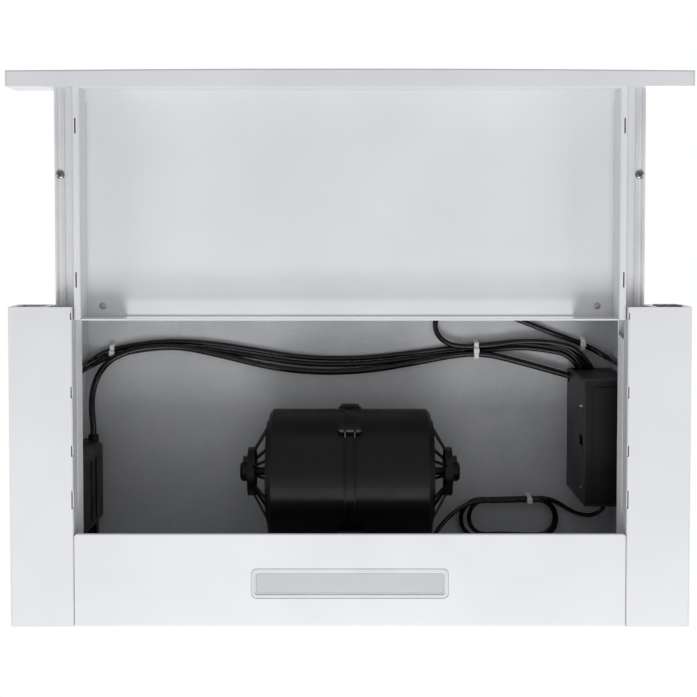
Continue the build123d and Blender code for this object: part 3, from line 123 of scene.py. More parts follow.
@dataclass(frozen=True)
class Finish:
    """What every finish has: a name, a colour, and how it shines."""

    name: str
    colour: str
    roughness: float
    metallic: float = 0.0
    ior: float = 1.5

    def material(self) -> bpy.types.Material:
        """Give this finish as a material, which is made the first time.

        Returns:
            The material that has the finish's name.
        """
        made = bpy.data.materials.get(self.name)
        if made is None:
            made = bpy.data.materials.new(self.name)
            made.use_nodes = True
            made.diffuse_color = linear(self.colour)
            tree = made.node_tree
            shader = tree.nodes["Principled BSDF"]
            shader.inputs["Base Color"].default_value = linear(self.colour)
            shader.inputs["Roughness"].default_value = self.roughness
            shader.inputs["Metallic"].default_value = self.metallic
            shader.inputs["IOR"].default_value = self.ior
            self.dress(tree, shader)
        return made

    def dress(self, tree: Tree, shader: Node) -> None:
        """Add what the surface shows from near. Each finish has its own."""

    def noise(self, tree: Tree, grain: Point, detail: float = 2.0) -> Socket:
        """Make noise on the piece's own coordinates.

        Args:
            tree: The material's node tree.
            grain: The size of one patch along X, Y and Z, in millimetres.
            detail: How many finer layers lie on it.

        Returns:
            The socket that gives the noise, from 0 to 1.
        """
        place = add_node(tree, "ShaderNodeTexCoord")
        scaled = add_node(tree, "ShaderNodeMapping", inputs={
            "Vector": place.outputs["Object"], "Scale": tuple(1 / (g * MM) for g in grain)})
        made = add_node(tree, "ShaderNodeTexNoise", inputs={
            "Vector": scaled.outputs["Vector"], "Scale": 1.0, "Detail": detail})
        return made.outputs["Fac"]

    def vary(self, tree: Tree, shader: Node, value: Socket, shade: str,
             low: float = 0.0) -> None:
        """Lead the colour from a shade to the finish's own colour.

        Args:
            tree: The material's node tree.
            shader: The shader that gets the colour.
            value: The socket that leads it, spread about 0.5.
            shade: The other colour.
            low: The share of the finish's own colour where the value is low.
        """
        ramp = add_node(tree, "ShaderNodeMapRange", inputs={
            "Value": value, "From Min": NOISE_LOW, "From Max": NOISE_HIGH,
            "To Min": low, "To Max": 1.0})
        mix = add_node(tree, "ShaderNodeMix", {"data_type": "RGBA"}, {
            "Factor": ramp.outputs["Result"], 6: linear(shade), 7: linear(self.colour)})
        tree.links.new(mix.outputs[2], shader.inputs["Base Color"])

    def polish(self, tree: Tree, shader: Node, value: Socket, spread: float) -> None:
        """Let the roughness go up and down with a value.

        Args:
            tree: The material's node tree.
            shader: The shader that gets the roughness.
            value: The socket that leads it, spread about 0.5.
            spread: How far the roughness goes to each side of the finish's own.
        """
        ramp = add_node(tree, "ShaderNodeMapRange", inputs={
            "Value": value, "From Min": NOISE_LOW, "From Max": NOISE_HIGH,
            "To Min": self.roughness - spread, "To Max": self.roughness + spread})
        tree.links.new(ramp.outputs["Result"], shader.inputs["Roughness"])

    def relief(self, tree: Tree, shader: Node, height: Socket, depth: float,
               strength: float) -> None:
        """Give the surface a relief.

        Args:
            tree: The material's node tree.
            shader: The shader that gets the relief.
            height: The socket that gives its height, from 0 to 1.
            depth: Its depth in millimetres.
            strength: How much of it shows, from 0 to 1.
        """
        bump = add_node(tree, "ShaderNodeBump", inputs={
            "Height": height, "Distance": depth * MM, "Strength": strength})
        tree.links.new(bump.outputs["Normal"], shader.inputs["Normal"])


@dataclass(frozen=True)
class PowderCoat(Finish):
    """Baked powder on steel: an even satin coat with faint orange peel and clouds in its shade."""

    shade: str = "#d9dadc"
    cloud_mm: float = 120.0
    peel_mm: float = 1.6
    peel_depth: float = 0.03

    def dress(self, tree: Tree, shader: Node) -> None:
        """Add clouds in the colour and the gloss, and orange peel a little coarser than it is.

        Args:
            tree: The material's node tree.
            shader: The shader that is dressed.
        """
        clouds = self.noise(tree, (self.cloud_mm,) * 3, detail=3.0)
        self.vary(tree, shader, clouds, self.shade)
        self.polish(tree, shader, clouds, spread=0.04)
        peel = self.noise(tree, (self.peel_mm,) * 3, detail=1.0)
        self.relief(tree, shader, peel, self.peel_depth, strength=0.5)


@dataclass(frozen=True)
class Galvanised(Finish):
    """Hot-dipped and rolled zinc on sheet: dull pale metal, its fine crystals almost flat."""

    shade: str = "#b4b6b9"
    bloom_mm: float = 60.0
    spangle_mm: float = 2.5
    spangle_depth: float = 0.01
    spangle_contrast: float = 0.12

    def dress(self, tree: Tree, shader: Node) -> None:
        """Add crystals with their own shade and gloss, under thin clouds of white bloom.

        Args:
            tree: The material's node tree.
            shader: The shader that is dressed.
        """
        place = add_node(tree, "ShaderNodeTexCoord")
        cells = add_node(tree, "ShaderNodeTexVoronoi", inputs={
            "Vector": place.outputs["Object"], "Scale": 1 / (self.spangle_mm * MM),
            "Randomness": 1.0})
        split = add_node(tree, "ShaderNodeSeparateColor", inputs={"Color": cells.outputs["Color"]})
        bloom = self.noise(tree, (self.bloom_mm,) * 3, detail=4.0)
        both = add_node(tree, "ShaderNodeMath", {"operation": "MULTIPLY_ADD"}, {
            0: split.outputs["Red"], 1: self.spangle_contrast, 2: bloom})
        self.vary(tree, shader, both.outputs["Value"], self.shade)
        self.polish(tree, shader, split.outputs["Green"], spread=0.04)
        self.relief(tree, shader, cells.outputs["Distance"], self.spangle_depth, strength=0.2)


@dataclass(frozen=True)
class WorkedMetal(Finish):
    """Rolled, turned, drawn or ground metal, plated or bare: fine tool lines, soft stains."""

    shade: str = "#9a9ca0"
    stain_mm: Point = (25.0, 60.0, 25.0)
    line_mm: Point = (0.7, 45.0, 0.7)
    line_depth: float = 0.01

    def dress(self, tree: Tree, shader: Node) -> None:
        """Add lines in the gloss and the relief, and stains in the colour.

        Args:
            tree: The material's node tree.
            shader: The shader that is dressed.
        """
        lines = self.noise(tree, self.line_mm, detail=2.0)
        stains = self.noise(tree, self.stain_mm, detail=3.0)
        self.vary(tree, shader, stains, self.shade, low=0.2)
        self.polish(tree, shader, lines, spread=0.08)
        self.relief(tree, shader, lines, self.line_depth, strength=0.4)


@dataclass(frozen=True)
class Moulded(Finish):
    """Plastic from a spark-eroded mould: satin, finely pebbled, with slight flow clouds."""

    shade: str = "#101114"
    flow_mm: float = 35.0
    pebble_mm: float = 0.9
    pebble_depth: float = 0.02

    def dress(self, tree: Tree, shader: Node) -> None:
        """Add flow clouds in shade and gloss, and pebbles as coarse as they need to show.

        Args:
            tree: The material's node tree.
            shader: The shader that is dressed.
        """
        flow = self.noise(tree, (self.flow_mm,) * 3, detail=2.0)
        self.vary(tree, shader, flow, self.shade)
        self.polish(tree, shader, flow, spread=0.05)
        pebbles = self.noise(tree, (self.pebble_mm,) * 3, detail=1.0)
        self.relief(tree, shader, pebbles, self.pebble_depth, strength=0.6)


@dataclass(frozen=True)
class Sheath(Finish):
    """Extruded soft PVC: glossy, with slow waves from the cooling bath and a little dust."""

    dust: str = "#0b0b0c"
    dust_mm: float = 14.0
    wave_mm: float = 9.0
    wave_depth: float = 0.15

    def dress(self, tree: Tree, shader: Node) -> None:
        """Add dust that dulls the gloss in places, and slow waves in the relief.

        Args:
            tree: The material's node tree.
            shader: The shader that is dressed.
        """
        dust = self.noise(tree, (self.dust_mm,) * 3, detail=4.0)
        self.vary(tree, shader, dust, self.dust, low=0.3)
        self.polish(tree, shader, dust, spread=0.06)
        waves = self.noise(tree, (self.wave_mm,) * 3, detail=0.0)
        self.relief(tree, shader, waves, self.wave_depth, strength=0.5)


@dataclass(frozen=True)
class Diffuser(Finish):
    """Frosted polycarbonate: milky and slightly clear, with fine prism lines across the lens."""

    clear: float = 0.12
    haze_mm: float = 30.0
    prism_mm: float = 2.0
    prism_depth: float = 0.05

    def dress(self, tree: Tree, shader: Node) -> None:
        """Add prism lines along X as a wave in the relief, and let a little light through.

        Args:
            tree: The material's node tree.
            shader: The shader that is dressed.
        """
        shader.inputs["Transmission Weight"].default_value = self.clear
        place = add_node(tree, "ShaderNodeTexCoord")
        wave = add_node(tree, "ShaderNodeTexWave", {"bands_direction": "Y"}, {
            "Vector": place.outputs["Object"], "Scale": WAVE_PERIOD / (self.prism_mm * MM),
            "Distortion": 0.0})
        self.relief(tree, shader, wave.outputs["Fac"], self.prism_depth, strength=0.5)
        haze = self.noise(tree, (self.haze_mm,) * 3, detail=2.0)
        self.polish(tree, shader, haze, spread=0.05)


@dataclass(frozen=True)
class Laminate(Finish):
    """Solder-masked glass board: dark green, with paler tracks under the mask."""

    track: str = "#2f7a45"
    pitch_mm: float = 2.5
    track_depth: float = 0.03

    def dress(self, tree: Tree, shader: Node) -> None:
        """Add tracks as bricks of copper seen through the mask.

        Args:
            tree: The material's node tree.
            shader: The shader that is dressed.
        """
        place = add_node(tree, "ShaderNodeTexCoord")
        tracks = add_node(tree, "ShaderNodeTexBrick", inputs={
            "Vector": place.outputs["Object"], "Scale": 1 / (self.pitch_mm * MM),
            "Color1": linear(self.track), "Color2": linear(self.colour),
            "Mortar": linear(self.colour), "Mortar Size": 0.12, "Brick Width": 6.0,
            "Row Height": 1.0})
        tree.links.new(tracks.outputs["Color"], shader.inputs["Base Color"])
        self.relief(tree, shader, tracks.outputs["Fac"], self.track_depth, strength=0.5)


@dataclass(frozen=True)
class SheetStack(Finish):
    """A stack of punched motor sheets: thin grey layers, edge on, with a film of varnish."""

    varnish: str = "#4a4947"
    stain_mm: float = 8.0
    layer_mm: float = 1.0
    layer_depth: float = 0.05

    def dress(self, tree: Tree, shader: Node) -> None:
        """Add layers across X, drawn at twice their real half millimetre, and varnish stains.

        Args:
            tree: The material's node tree.
            shader: The shader that is dressed.
        """
        place = add_node(tree, "ShaderNodeTexCoord")
        wave = add_node(tree, "ShaderNodeTexWave", {
            "bands_direction": "X", "wave_profile": "TRI"}, {
            "Vector": place.outputs["Object"], "Scale": WAVE_PERIOD / (self.layer_mm * MM)})
        layers = wave.outputs["Fac"]
        self.vary(tree, shader, layers, self.varnish)
        stains = self.noise(tree, (self.stain_mm,) * 3, detail=3.0)
        self.polish(tree, shader, stains, spread=0.1)
        self.relief(tree, shader, layers, self.layer_depth, strength=0.6)


class Slot(Enum):
    """The finishes of the record's material slots."""

    # Baked powder on folded sheet: an even satin white
    WHITE_PAINT = PowderCoat("white_powder_coat_satin", "#dadbde", 0.38, shade="#d3d4d7")
    # Zinc pressed flat by the rolls: dull and pale, with a faint flicker of crystals
    GALVANISED_SHEET = Galvanised("galvanised_sheet_skin_passed", "#c3c4c6", 0.55, 0.35)
    # Rolled strip with a thin zinc coat: soft silver, streaked along the slide
    ZINC_SLIDE = WorkedMetal("zinc_plated_rolled_steel", "#d3d4d6", 0.5, 0.3, shade="#bfc1c4")
    # Ground balls: small sharp mirrors
    BRIGHT_STEEL = WorkedMetal("ground_bearing_steel", "#c8cacc", 0.2, 1.0, shade="#b4b6b8")
    # Cold-headed and plated: bright spots with an even grain
    PLATED_FASTENER = WorkedMetal("zinc_plated_cold_headed_steel", "#c2c3c6", 0.3, 1.0,
                                  line_mm=(1.5, 1.5, 1.5))
    # Moulded ABS: deep satin black. An IOR under its usual 1.5 keeps it as dark as it looks
    BLACK_PLASTIC = Moulded("black_abs_moulded", "#030304", 0.4, shade="#070708", ior=1.33)
    # Varnished sheets, edge on: fine grey lines
    MOTOR_STEEL = SheetStack("motor_sheet_stack_varnished", "#7c7a76", 0.4, 0.9)
    # Pressed and sintered bronze: a dull brown gold, grainy with pores
    BEARING_BRONZE = WorkedMetal("sintered_bronze", "#a5713f", 0.5, 1.0, shade="#7a4f2a",
                                 line_mm=(0.8, 0.8, 0.8))
    # Moulded ABS: a cool light grey with a satin pebble
    GREY_PLASTIC = Moulded("light_grey_abs_moulded", "#cfd0d3", 0.45, shade="#c6c8cb")
    # Moulded polypropylene: a bluish dark grey with a dull sheen, its IOR lowered as above
    CHARCOAL_PLASTIC = Moulded("charcoal_pp_moulded", "#15181c", 0.4, shade="#101316", ior=1.36)
    # Solder-masked laminate: dark green with paler tracks
    CIRCUIT_BOARD = Laminate("green_glass_laminate", "#123b22", 0.35)
    # Drawn aluminium: bright, with lines along the can
    CAPACITOR_CAN = WorkedMetal("drawn_aluminium", "#c4c6c9", 0.3, 1.0, line_mm=(0.6, 30.0, 0.6))
    # Frosted polycarbonate: a milky grey with fine prism lines
    LAMP_DIFFUSER = Diffuser("frosted_polycarbonate", "#c0c1c4", 0.4)
    # Extruded PVC: glossy black, with a bright line along each cable
    BLACK_CABLE = Sheath("black_pvc_sheath", "#030303", 0.24, ior=1.42)
    # Moulded nylon: a warm white, with pebbles that are a little coarser
    WHITE_CLIP = Moulded("white_nylon_moulded", "#e8e8e4", 0.4, shade="#dcdcd8", pebble_mm=1.5)


# Finishes of single nodes: their own, and painted light on the inner frame and painted shade on the
# control box's lid
OWN_FINISH_AND_PAINTED_LIGHT: dict[str, Finish] = {
    # Turned and oiled: nearly black, with a dark shine
    "motor_shaft": WorkedMetal("oiled_dark_steel", "#1c1d1f", 0.35, 0.8, shade="#141516"),
    # Dull nickel: greyer than the zinc about it
    "drawer_screws": WorkedMetal("nickel_plated_steel_dull", "#85878a", 0.35, 1.0,
                                 shade="#6d6f72", line_mm=(1.5, 1.5, 1.5)),
    # Phosphated: a soft black that almost melts into the plastic
    "seam_screws": WorkedMetal("black_phosphated_steel", "#2b2c2e", 0.4, 0.9, shade="#1d1e20",
                               line_mm=(1.5, 1.5, 1.5)),
    # Moulded polypropylene, the box's own: its lid painted near black, as painted shade against the
    # box's lit sides
    "control_box_cover": Moulded("charcoal_pp_painted_shade", "#050506", 0.42, shade="#08080a", ior=1.33),
    # The housing's white powder, painted brighter: painted light that lifts the shade on the frame's
    # inner walls
    "inner_frame": PowderCoat("white_powder_coat_painted_light", "#f3f4f6", 0.34, shade="#ecedf0"),
}


def dress_nodes() -> None:
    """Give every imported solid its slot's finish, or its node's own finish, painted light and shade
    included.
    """
    parts = frame["record"]["subparts"]
    for part in parts:
        piece = frame["nodes"][part["node"]]
        finish = OWN_FINISH_AND_PAINTED_LIGHT.get(part["node"]) or Slot[part["material_slot"].upper()].value
        material = finish.material()
        if piece.material_slots:
            for holder in piece.material_slots:
                holder.material = material
        else:
            piece.data.materials.append(material)
    log.info("packed solids: %d nodes", len(parts))


def smooth(mesh: bpy.types.Mesh, angle: float = SHARP_ANGLE) -> None:
    """Shade a mesh smooth, apart from edges that turn by more than an angle in degrees."""
    mesh.polygons.foreach_set("use_smooth", [True] * len(mesh.polygons))
    mesh.set_sharp_from_angle(angle=math.radians(angle))


def place_piece(name: str, data: bpy.types.ID, body: str,
                nodes: Sequence[str]) -> bpy.types.Object:
    """Put a finished piece in the scene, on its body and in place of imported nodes.

    Args:
        name: The piece's name.
        data: Its mesh or curve, with its place in it.
        body: The body that it rides on.
        nodes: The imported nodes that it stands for.

    Returns:
        The object.
    """
    piece = bpy.data.objects.new(name, data)
    bpy.context.scene.collection.objects.link(piece)
    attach(piece, body)
    if nodes:
        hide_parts(*nodes)
    return piece


def islands(node: str) -> list[list[Vector]]:
    """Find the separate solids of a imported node.

    Args:
        node: The node's name.

    Returns:
        The corners of each solid, in metres.
    """
    shape = bmesh.new()
    shape.from_mesh(frame["nodes"][node].data)
    bmesh.ops.remove_doubles(shape, verts=shape.verts, dist=WELD)
    groups = []
    seen = set()
    for first in shape.verts:
        if first in seen:
            continue
        seen.add(first)
        group = [first]
        for corner in group:
            for edge in corner.link_edges:
                other = edge.other_vert(corner)
                if other not in seen:
                    seen.add(other)
                    group.append(other)
        groups.append([corner.co.copy() for corner in group])
    shape.free()
    return groups


def ends(corners: list[Vector]) -> tuple[Vector, Vector]:
    """Give the lowest and the highest corner of the box round some corners."""
    return tuple(Vector([end(c[k] for c in corners) for k in range(3)]) for end in (min, max))


def sweep(shape: bmesh.types.BMesh, x: float, line: list[Vector],
          section: Sequence[tuple[float, float]]) -> None:
    """Sweep a section along a line in a plane across X, and close its ends.

    Args:
        shape: The mesh that gets it.
        x: Where the plane is, in millimetres.
        line: The line's points in Y and Z, in millimetres.
        section: The section's corners: how far along X, and how far to the right of the line.
    """
    rings = []
    for k, point in enumerate(line):
        ahead = line[min(k + 1, len(line) - 1)] - line[max(k - 1, 0)]
        right = Vector((ahead.y, -ahead.x)).normalized()
        rings.append([shape.verts.new(Vector((x + along, *(point + right * out))) * MM)
                      for along, out in section])
    for ring, after in zip(rings, rings[1:]):
        for k in range(len(section)):
            follow = k + 1 - len(section)
            shape.faces.new((ring[k], ring[follow], after[follow], after[k]))
    shape.faces.new(rings[0])
    shape.faces.new(list(reversed(rings[-1])))


def dressed_mesh(name: str, shape: bmesh.types.BMesh, slot: Slot,
                 angle: float = SHARP_ANGLE) -> bpy.types.Mesh:
    """Turn what was built into a smooth mesh in the finish of a slot.

    Args:
        name: The mesh's name.
        shape: What was built. It is freed.
        slot: The slot that gives the finish.
        angle: Edges that turn by more degrees than this stay sharp.

    Returns:
        The mesh.
    """
    bmesh.ops.recalc_face_normals(shape, faces=shape.faces)
    mesh = bpy.data.meshes.new(name)
    shape.to_mesh(mesh)
    shape.free()
    mesh.materials.append(slot.value.material())
    smooth(mesh, angle)
    return mesh


@dataclass(frozen=True)
class Fixing:
    """Where one screw, nut or rivet sits, and how large it is, in metres."""

    seat: Vector
    facing: Vector
    radius: float
    height: float
    shank: float
    grip: float

    BRIM_SHARE = 0.97
    STEM_SHARE = 0.9
    LEVEL = 1e-5

    @classmethod
    def read(cls, corners: list[Vector], side: int = 0) -> "Fixing":
        """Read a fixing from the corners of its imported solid.

        Args:
            corners: The corners of the solid.
            side: The end of its axis where the head is, -1 or 1, or 0 where the wider end tells.

        Returns:
            The fixing.
        """
        low, high = ends(corners)
        middle = (low + high) / 2
        size = high - low
        # The axis is the side that differs from the other two, whether longer or shorter
        axis = max(range(3), key=lambda k: abs(size[k] - sorted(size)[1]))
        across = [k for k in range(3) if k != axis]
        polar = [(c[axis], math.dist([c[k] for k in across], [middle[k] for k in across]))
                 for c in corners]
        rim = max(r for _, r in polar)
        brim = [t for t, r in polar if r > cls.BRIM_SHARE * rim]
        if side == 0:
            side = 1 if sum(brim) / len(brim) > middle[axis] else -1
        end, tip = (high[axis], low[axis]) if side > 0 else (low[axis], high[axis])
        seat = min((t for t in brim if (t - middle[axis]) * side > 0), key=lambda t: t * side)
        stems = [r for t, r in polar if abs(t - seat) < cls.LEVEL and r < cls.STEM_SHARE * rim]
        place = middle.copy()
        place[axis] = seat
        facing = Vector((0, 0, 0))
        facing[axis] = side
        return cls(place, facing, rim, abs(end - seat), max(stems, default=0.0), abs(seat - tip))


class Recess(Enum):
    """What is sunk into a fastener's head."""

    CROSS = "cross"
    ROUND = "round"


@dataclass(frozen=True)
class Fastener:
    """A kind of fastener: a flattened dome for its head, with a tool recess cut out of it.

    The crown, the span and the width are shares of the head's radius, and the depth is a share of
    its height.
    """

    name: str
    recess: Recess = Recess.CROSS
    sides: int = 32
    crown: float = 1.1
    span: float = 0.6
    width: float = 0.2
    depth: float = 0.7
    with_shank: bool = True
    turned: bool = True
    seed: int = 11

    SIZES = ("Head Radius", "Head Height", "Shank Radius", "Recess Span", "Recess Width",
             "Recess Depth")

    def tree(self) -> Tree:
        """Build the tree that puts this fastener on each point that it is given.

        Returns:
            The Geometry Nodes tree.
        """
        tree = bpy.data.node_groups.new(self.name, "GeometryNodeTree")
        for name, way, kind in (
            ("Places", "INPUT", "Geometry"), *((size, "INPUT", "Float") for size in self.SIZES),
            ("Sides", "INPUT", "Int"), ("Finish", "INPUT", "Material"),
            ("Fasteners", "OUTPUT", "Geometry"),
        ):
            tree.interface.new_socket(name, in_out=way, socket_type="NodeSocket" + kind)
        given = add_node(tree, "NodeGroupInput").outputs
        turn = self.turn(tree)
        heads = add_node(tree, "GeometryNodeInstanceOnPoints", inputs={
            "Points": given["Places"], "Instance": self.head(tree, given), "Rotation": turn})
        parts = [heads.outputs[0]]
        if self.with_shank:
            parts.append(self.shank(tree, given, turn))
        joined = add_node(tree, "GeometryNodeJoinGeometry", inputs={0: parts})
        real = add_node(tree, "GeometryNodeRealizeInstances", inputs={0: joined.outputs[0]})
        dressed = add_node(tree, "GeometryNodeSetMaterial", inputs={
            "Geometry": real.outputs[0], "Material": given["Finish"]})
        add_node(tree, "NodeGroupOutput", inputs={"Fasteners": dressed.outputs[0]})
        return tree

    def turn(self, tree: Tree) -> Socket:
        """Aim each fastener along its point's facing, turned about its axis as a driver left it.

        Args:
            tree: The tree that is built.

        Returns:
            The rotation.
        """
        facing = add_node(tree, "GeometryNodeInputNamedAttribute", {
            "data_type": "FLOAT_VECTOR"}, {"Name": "facing"})
        aimed = add_node(tree, "FunctionNodeAlignRotationToVector", {"axis": "Z"}, {
            "Vector": facing.outputs["Attribute"]})
        if not self.turned:
            return aimed.outputs[0]
        angle = add_node(tree, "FunctionNodeRandomValue", {"data_type": "FLOAT"}, {
            2: 0.0, 3: math.pi / 2, "Seed": self.seed})
        about = add_node(tree, "ShaderNodeCombineXYZ", inputs={"Z": angle.outputs[1]})
        spun = add_node(tree, "FunctionNodeRotateRotation", {"rotation_space": "LOCAL"}, {
            "Rotation": aimed.outputs[0], "Rotate By": about.outputs[0]})
        return spun.outputs[0]

    def head(self, tree: Tree, given: Sockets) -> Socket:
        """Cut a flattened ball to the head's round or hexagon, and sink the recess into it.

        Args:
            tree: The tree that is built.
            given: The tree's inputs.

        Returns:
            The head, which stands on its seat.
        """
        radius, height = given["Head Radius"], given["Head Height"]
        half = add_node(tree, "ShaderNodeMath", {"operation": "MULTIPLY"}, {0: height, 1: 0.5})
        rise = add_node(tree, "ShaderNodeCombineXYZ", inputs={"Z": half.outputs[0]})
        disc = add_node(tree, "GeometryNodeMeshCylinder", inputs={
            "Vertices": given["Sides"], "Radius": radius, "Depth": height})
        lifted = add_node(tree, "GeometryNodeTransform", inputs={
            "Geometry": disc.outputs["Mesh"], "Translation": rise.outputs[0]})
        size = add_node(tree, "ShaderNodeCombineXYZ", inputs={
            "X": radius, "Y": radius, "Z": height})
        grown = add_node(tree, "ShaderNodeVectorMath", {"operation": "SCALE"}, {
            0: size.outputs[0], "Scale": self.crown})
        ball = add_node(tree, "GeometryNodeMeshUVSphere", inputs={
            "Segments": 32, "Rings": 20, "Radius": 1.0})
        dome = add_node(tree, "GeometryNodeTransform", inputs={
            "Geometry": ball.outputs["Mesh"], "Scale": grown.outputs[0]})
        head = add_node(tree, "GeometryNodeMeshBoolean", {"operation": "INTERSECT"}, {
            1: [lifted.outputs[0], dome.outputs[0]]})
        cut = add_node(tree, "GeometryNodeMeshBoolean", {"operation": "DIFFERENCE"}, {
            0: head.outputs["Mesh"], 1: self.tools(tree, given)})
        return cut.outputs["Mesh"]

    def tools(self, tree: Tree, given: Sockets) -> list[Socket]:
        """Make what the recess is cut with: a cross of two bars, or one round pin.

        Args:
            tree: The tree that is built.
            given: The tree's inputs.

        Returns:
            The shapes, each centred on the head's top.
        """
        span, width = given["Recess Span"], given["Recess Width"]
        top = add_node(tree, "ShaderNodeCombineXYZ", inputs={"Z": given["Head Height"]})
        deep = add_node(tree, "ShaderNodeMath", {"operation": "MULTIPLY"}, {
            0: given["Recess Depth"], 1: 2.0}).outputs[0]
        if self.recess is Recess.ROUND:
            shapes = [add_node(tree, "GeometryNodeMeshCylinder", inputs={
                "Vertices": 20, "Radius": span, "Depth": deep})]
        else:
            long = add_node(tree, "ShaderNodeMath", {"operation": "MULTIPLY"}, {
                0: span, 1: 2.0}).outputs[0]
            sizes = [add_node(tree, "ShaderNodeCombineXYZ", inputs={"X": x, "Y": y, "Z": deep})
                     for x, y in ((long, width), (width, long))]
            shapes = [add_node(tree, "GeometryNodeMeshCube", inputs={"Size": size.outputs[0]})
                      for size in sizes]
        placed = [add_node(tree, "GeometryNodeTransform", inputs={
            "Geometry": shape.outputs["Mesh"], "Translation": top.outputs[0]})
            for shape in shapes]
        return [shape.outputs[0] for shape in placed]

    def shank(self, tree: Tree, given: Sockets, turn: Socket) -> Socket:
        """Make a round shank of unit length under each head, stretched to its point's grip.

        Args:
            tree: The tree that is built.
            given: The tree's inputs.
            turn: The rotation of each fastener.

        Returns:
            The shanks as instances.
        """
        stem = add_node(tree, "GeometryNodeMeshCylinder", inputs={
            "Vertices": 20, "Radius": given["Shank Radius"], "Depth": 1.0})
        hung = add_node(tree, "GeometryNodeTransform", inputs={
            "Geometry": stem.outputs["Mesh"], "Translation": (0.0, 0.0, -0.5)})
        grip = add_node(tree, "GeometryNodeInputNamedAttribute", {"data_type": "FLOAT"}, {
            "Name": "grip"})
        stretch = add_node(tree, "ShaderNodeCombineXYZ", inputs={
            "X": 1.0, "Y": 1.0, "Z": grip.outputs["Attribute"]})
        put = add_node(tree, "GeometryNodeInstanceOnPoints", inputs={
            "Points": given["Places"], "Instance": hung.outputs[0], "Rotation": turn,
            "Scale": stretch.outputs[0]})
        return put.outputs[0]

    def made(self, fixings: list[Fixing], finish: Finish) -> bpy.types.Mesh:
        """Make this fastener at each fixing, as one plain mesh.

        Args:
            fixings: The places and sizes. The sizes of the first hold for all.
            finish: The material of them all.

        Returns:
            The mesh, with its place in it.
        """
        points = bpy.data.meshes.new(self.name + "_places")
        points.from_pydata([f.seat for f in fixings], [], [])
        facing = points.attributes.new("facing", "FLOAT_VECTOR", "POINT")
        facing.data.foreach_set("vector", [x for f in fixings for x in f.facing])
        grip = points.attributes.new("grip", "FLOAT", "POINT")
        grip.data.foreach_set("value", [f.grip for f in fixings])
        carrier = bpy.data.objects.new(self.name + "_places", points)
        bpy.context.scene.collection.objects.link(carrier)
        maker = carrier.modifiers.new(self.name, "NODES")
        maker.node_group = self.tree()
        one = fixings[0]
        values = {
            "Head Radius": one.radius, "Head Height": one.height, "Shank Radius": one.shank,
            "Recess Span": self.span * one.radius, "Recess Width": self.width * one.radius,
            "Recess Depth": self.depth * one.height, "Sides": self.sides,
            "Finish": finish.material(),
        }
        for socket in maker.node_group.interface.items_tree:
            if socket.in_out == "INPUT" and socket.name in values:
                maker[socket.identifier] = values[socket.name]
        depsgraph = bpy.context.evaluated_depsgraph_get()
        mesh = bpy.data.meshes.new_from_object(carrier.evaluated_get(depsgraph))
        carrier.modifiers.remove(maker)
        bpy.data.objects.remove(carrier)
        smooth(mesh)
        return mesh


@dataclass
class Fasteners:
    """All screws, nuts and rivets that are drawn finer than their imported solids."""

    screw: Fastener = Fastener("cross_head_screw")
    rivet: Fastener = Fastener("blind_rivet", Recess.ROUND, span=0.28, depth=0.5)
    nut: Fastener = Fastener("hexagon_nut", Recess.ROUND, sides=6, crown=1.06, span=0.5,
                             depth=0.6, with_shank=False, turned=False)
    head: Fastener = Fastener("seam_screw_head", seed=5)
    small: Fastener = Fastener("box_screw_head", with_shank=False, seed=7)
    slot: Slot = Slot.PLATED_FASTENER
    box_screws_y: tuple[float, float] = (-41.5, 36.0)
    box_screw_up: float = 12.0
    box_screw_radius: float = 1.8
    box_screw_height: float = 1.2

    def build(self) -> None:
        """Make the fasteners of the drawer, the ceiling, the control box and the seam."""
        self.control_box()
        self.replace("drawer_screws", "drawer", self.screw)
        self.replace("drawer_rivets", "drawer", self.rivet)
        self.replace("sheet_screws", "chassis", self.screw)
        self.seam()

    def replace(self, node: str, body: str, kind: Fastener) -> None:
        """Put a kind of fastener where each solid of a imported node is.

        Args:
            node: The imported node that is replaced.
            body: The body that it rides on.
            kind: What is put there.
        """
        fixings = [Fixing.read(solid) for solid in islands(node)]
        finish = OWN_FINISH_AND_PAINTED_LIGHT.get(node, self.slot.value)
        place_piece(node + "_detailed", kind.made(fixings, finish), body, [node])
        log.info("%s: %d fasteners", node, len(fixings))

    def control_box(self) -> None:
        """Make the two small screws low on the control box's side, which catch the light."""
        low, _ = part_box("control_box")
        heads = [Fixing(Vector((low[0], y * MM, low[2] + self.box_screw_up * MM)),
                        Vector((-1.0, 0.0, 0.0)), self.box_screw_radius * MM,
                        self.box_screw_height * MM, 0.0, 0.0) for y in self.box_screws_y]
        mesh = self.small.made(heads, self.slot.value)
        place_piece("box_screws", mesh, "chassis", [])
        log.info("control box: %d screws", len(heads))

    def seam(self) -> None:
        """Make the screws through the ears of the blower's seam, with a nut behind each."""
        solids = islands("seam_screws")
        for name, kind, side in (("seam_screws", self.head, -1), ("seam_nuts", self.nut, 1)):
            fixings = [Fixing.read(solid, side) for solid in solids]
            mesh = kind.made(fixings, OWN_FINISH_AND_PAINTED_LIGHT["seam_screws"])
            place_piece(name + "_detailed", mesh, "chassis", ["seam_screws"])
        log.info("seam: %d screws and nuts", len(solids))


@dataclass
class Cord:
    """One cable: its route in millimetres from where it leaves, its diameter, and its length, which
    is not used.
    """

    name: str
    node: str
    route: list[Point]
    diameter: float
    length: float

    def build(self) -> None:
        """Lay the cable as one smooth spline along its route."""
        curve = bpy.data.curves.new(self.name, "CURVE")
        curve.dimensions = "3D"
        curve.bevel_depth = self.diameter / 2 * MM
        curve.bevel_resolution = 4
        curve.resolution_u = 8
        curve.use_fill_caps = True
        spline = curve.splines.new("NURBS")
        spline.points.add(len(self.route) - 1)
        for point, place in zip(spline.points, self.route):
            point.co = (*(c * MM for c in place), 1.0)
        spline.order_u = 3
        spline.use_endpoint_u = True
        slot = Slot.BLACK_CABLE
        curve.materials.append(slot.value.material())
        piece = place_piece(self.name, curve, "chassis", [self.node])
        log.info("%s: %d points", self.name, len(self.route))


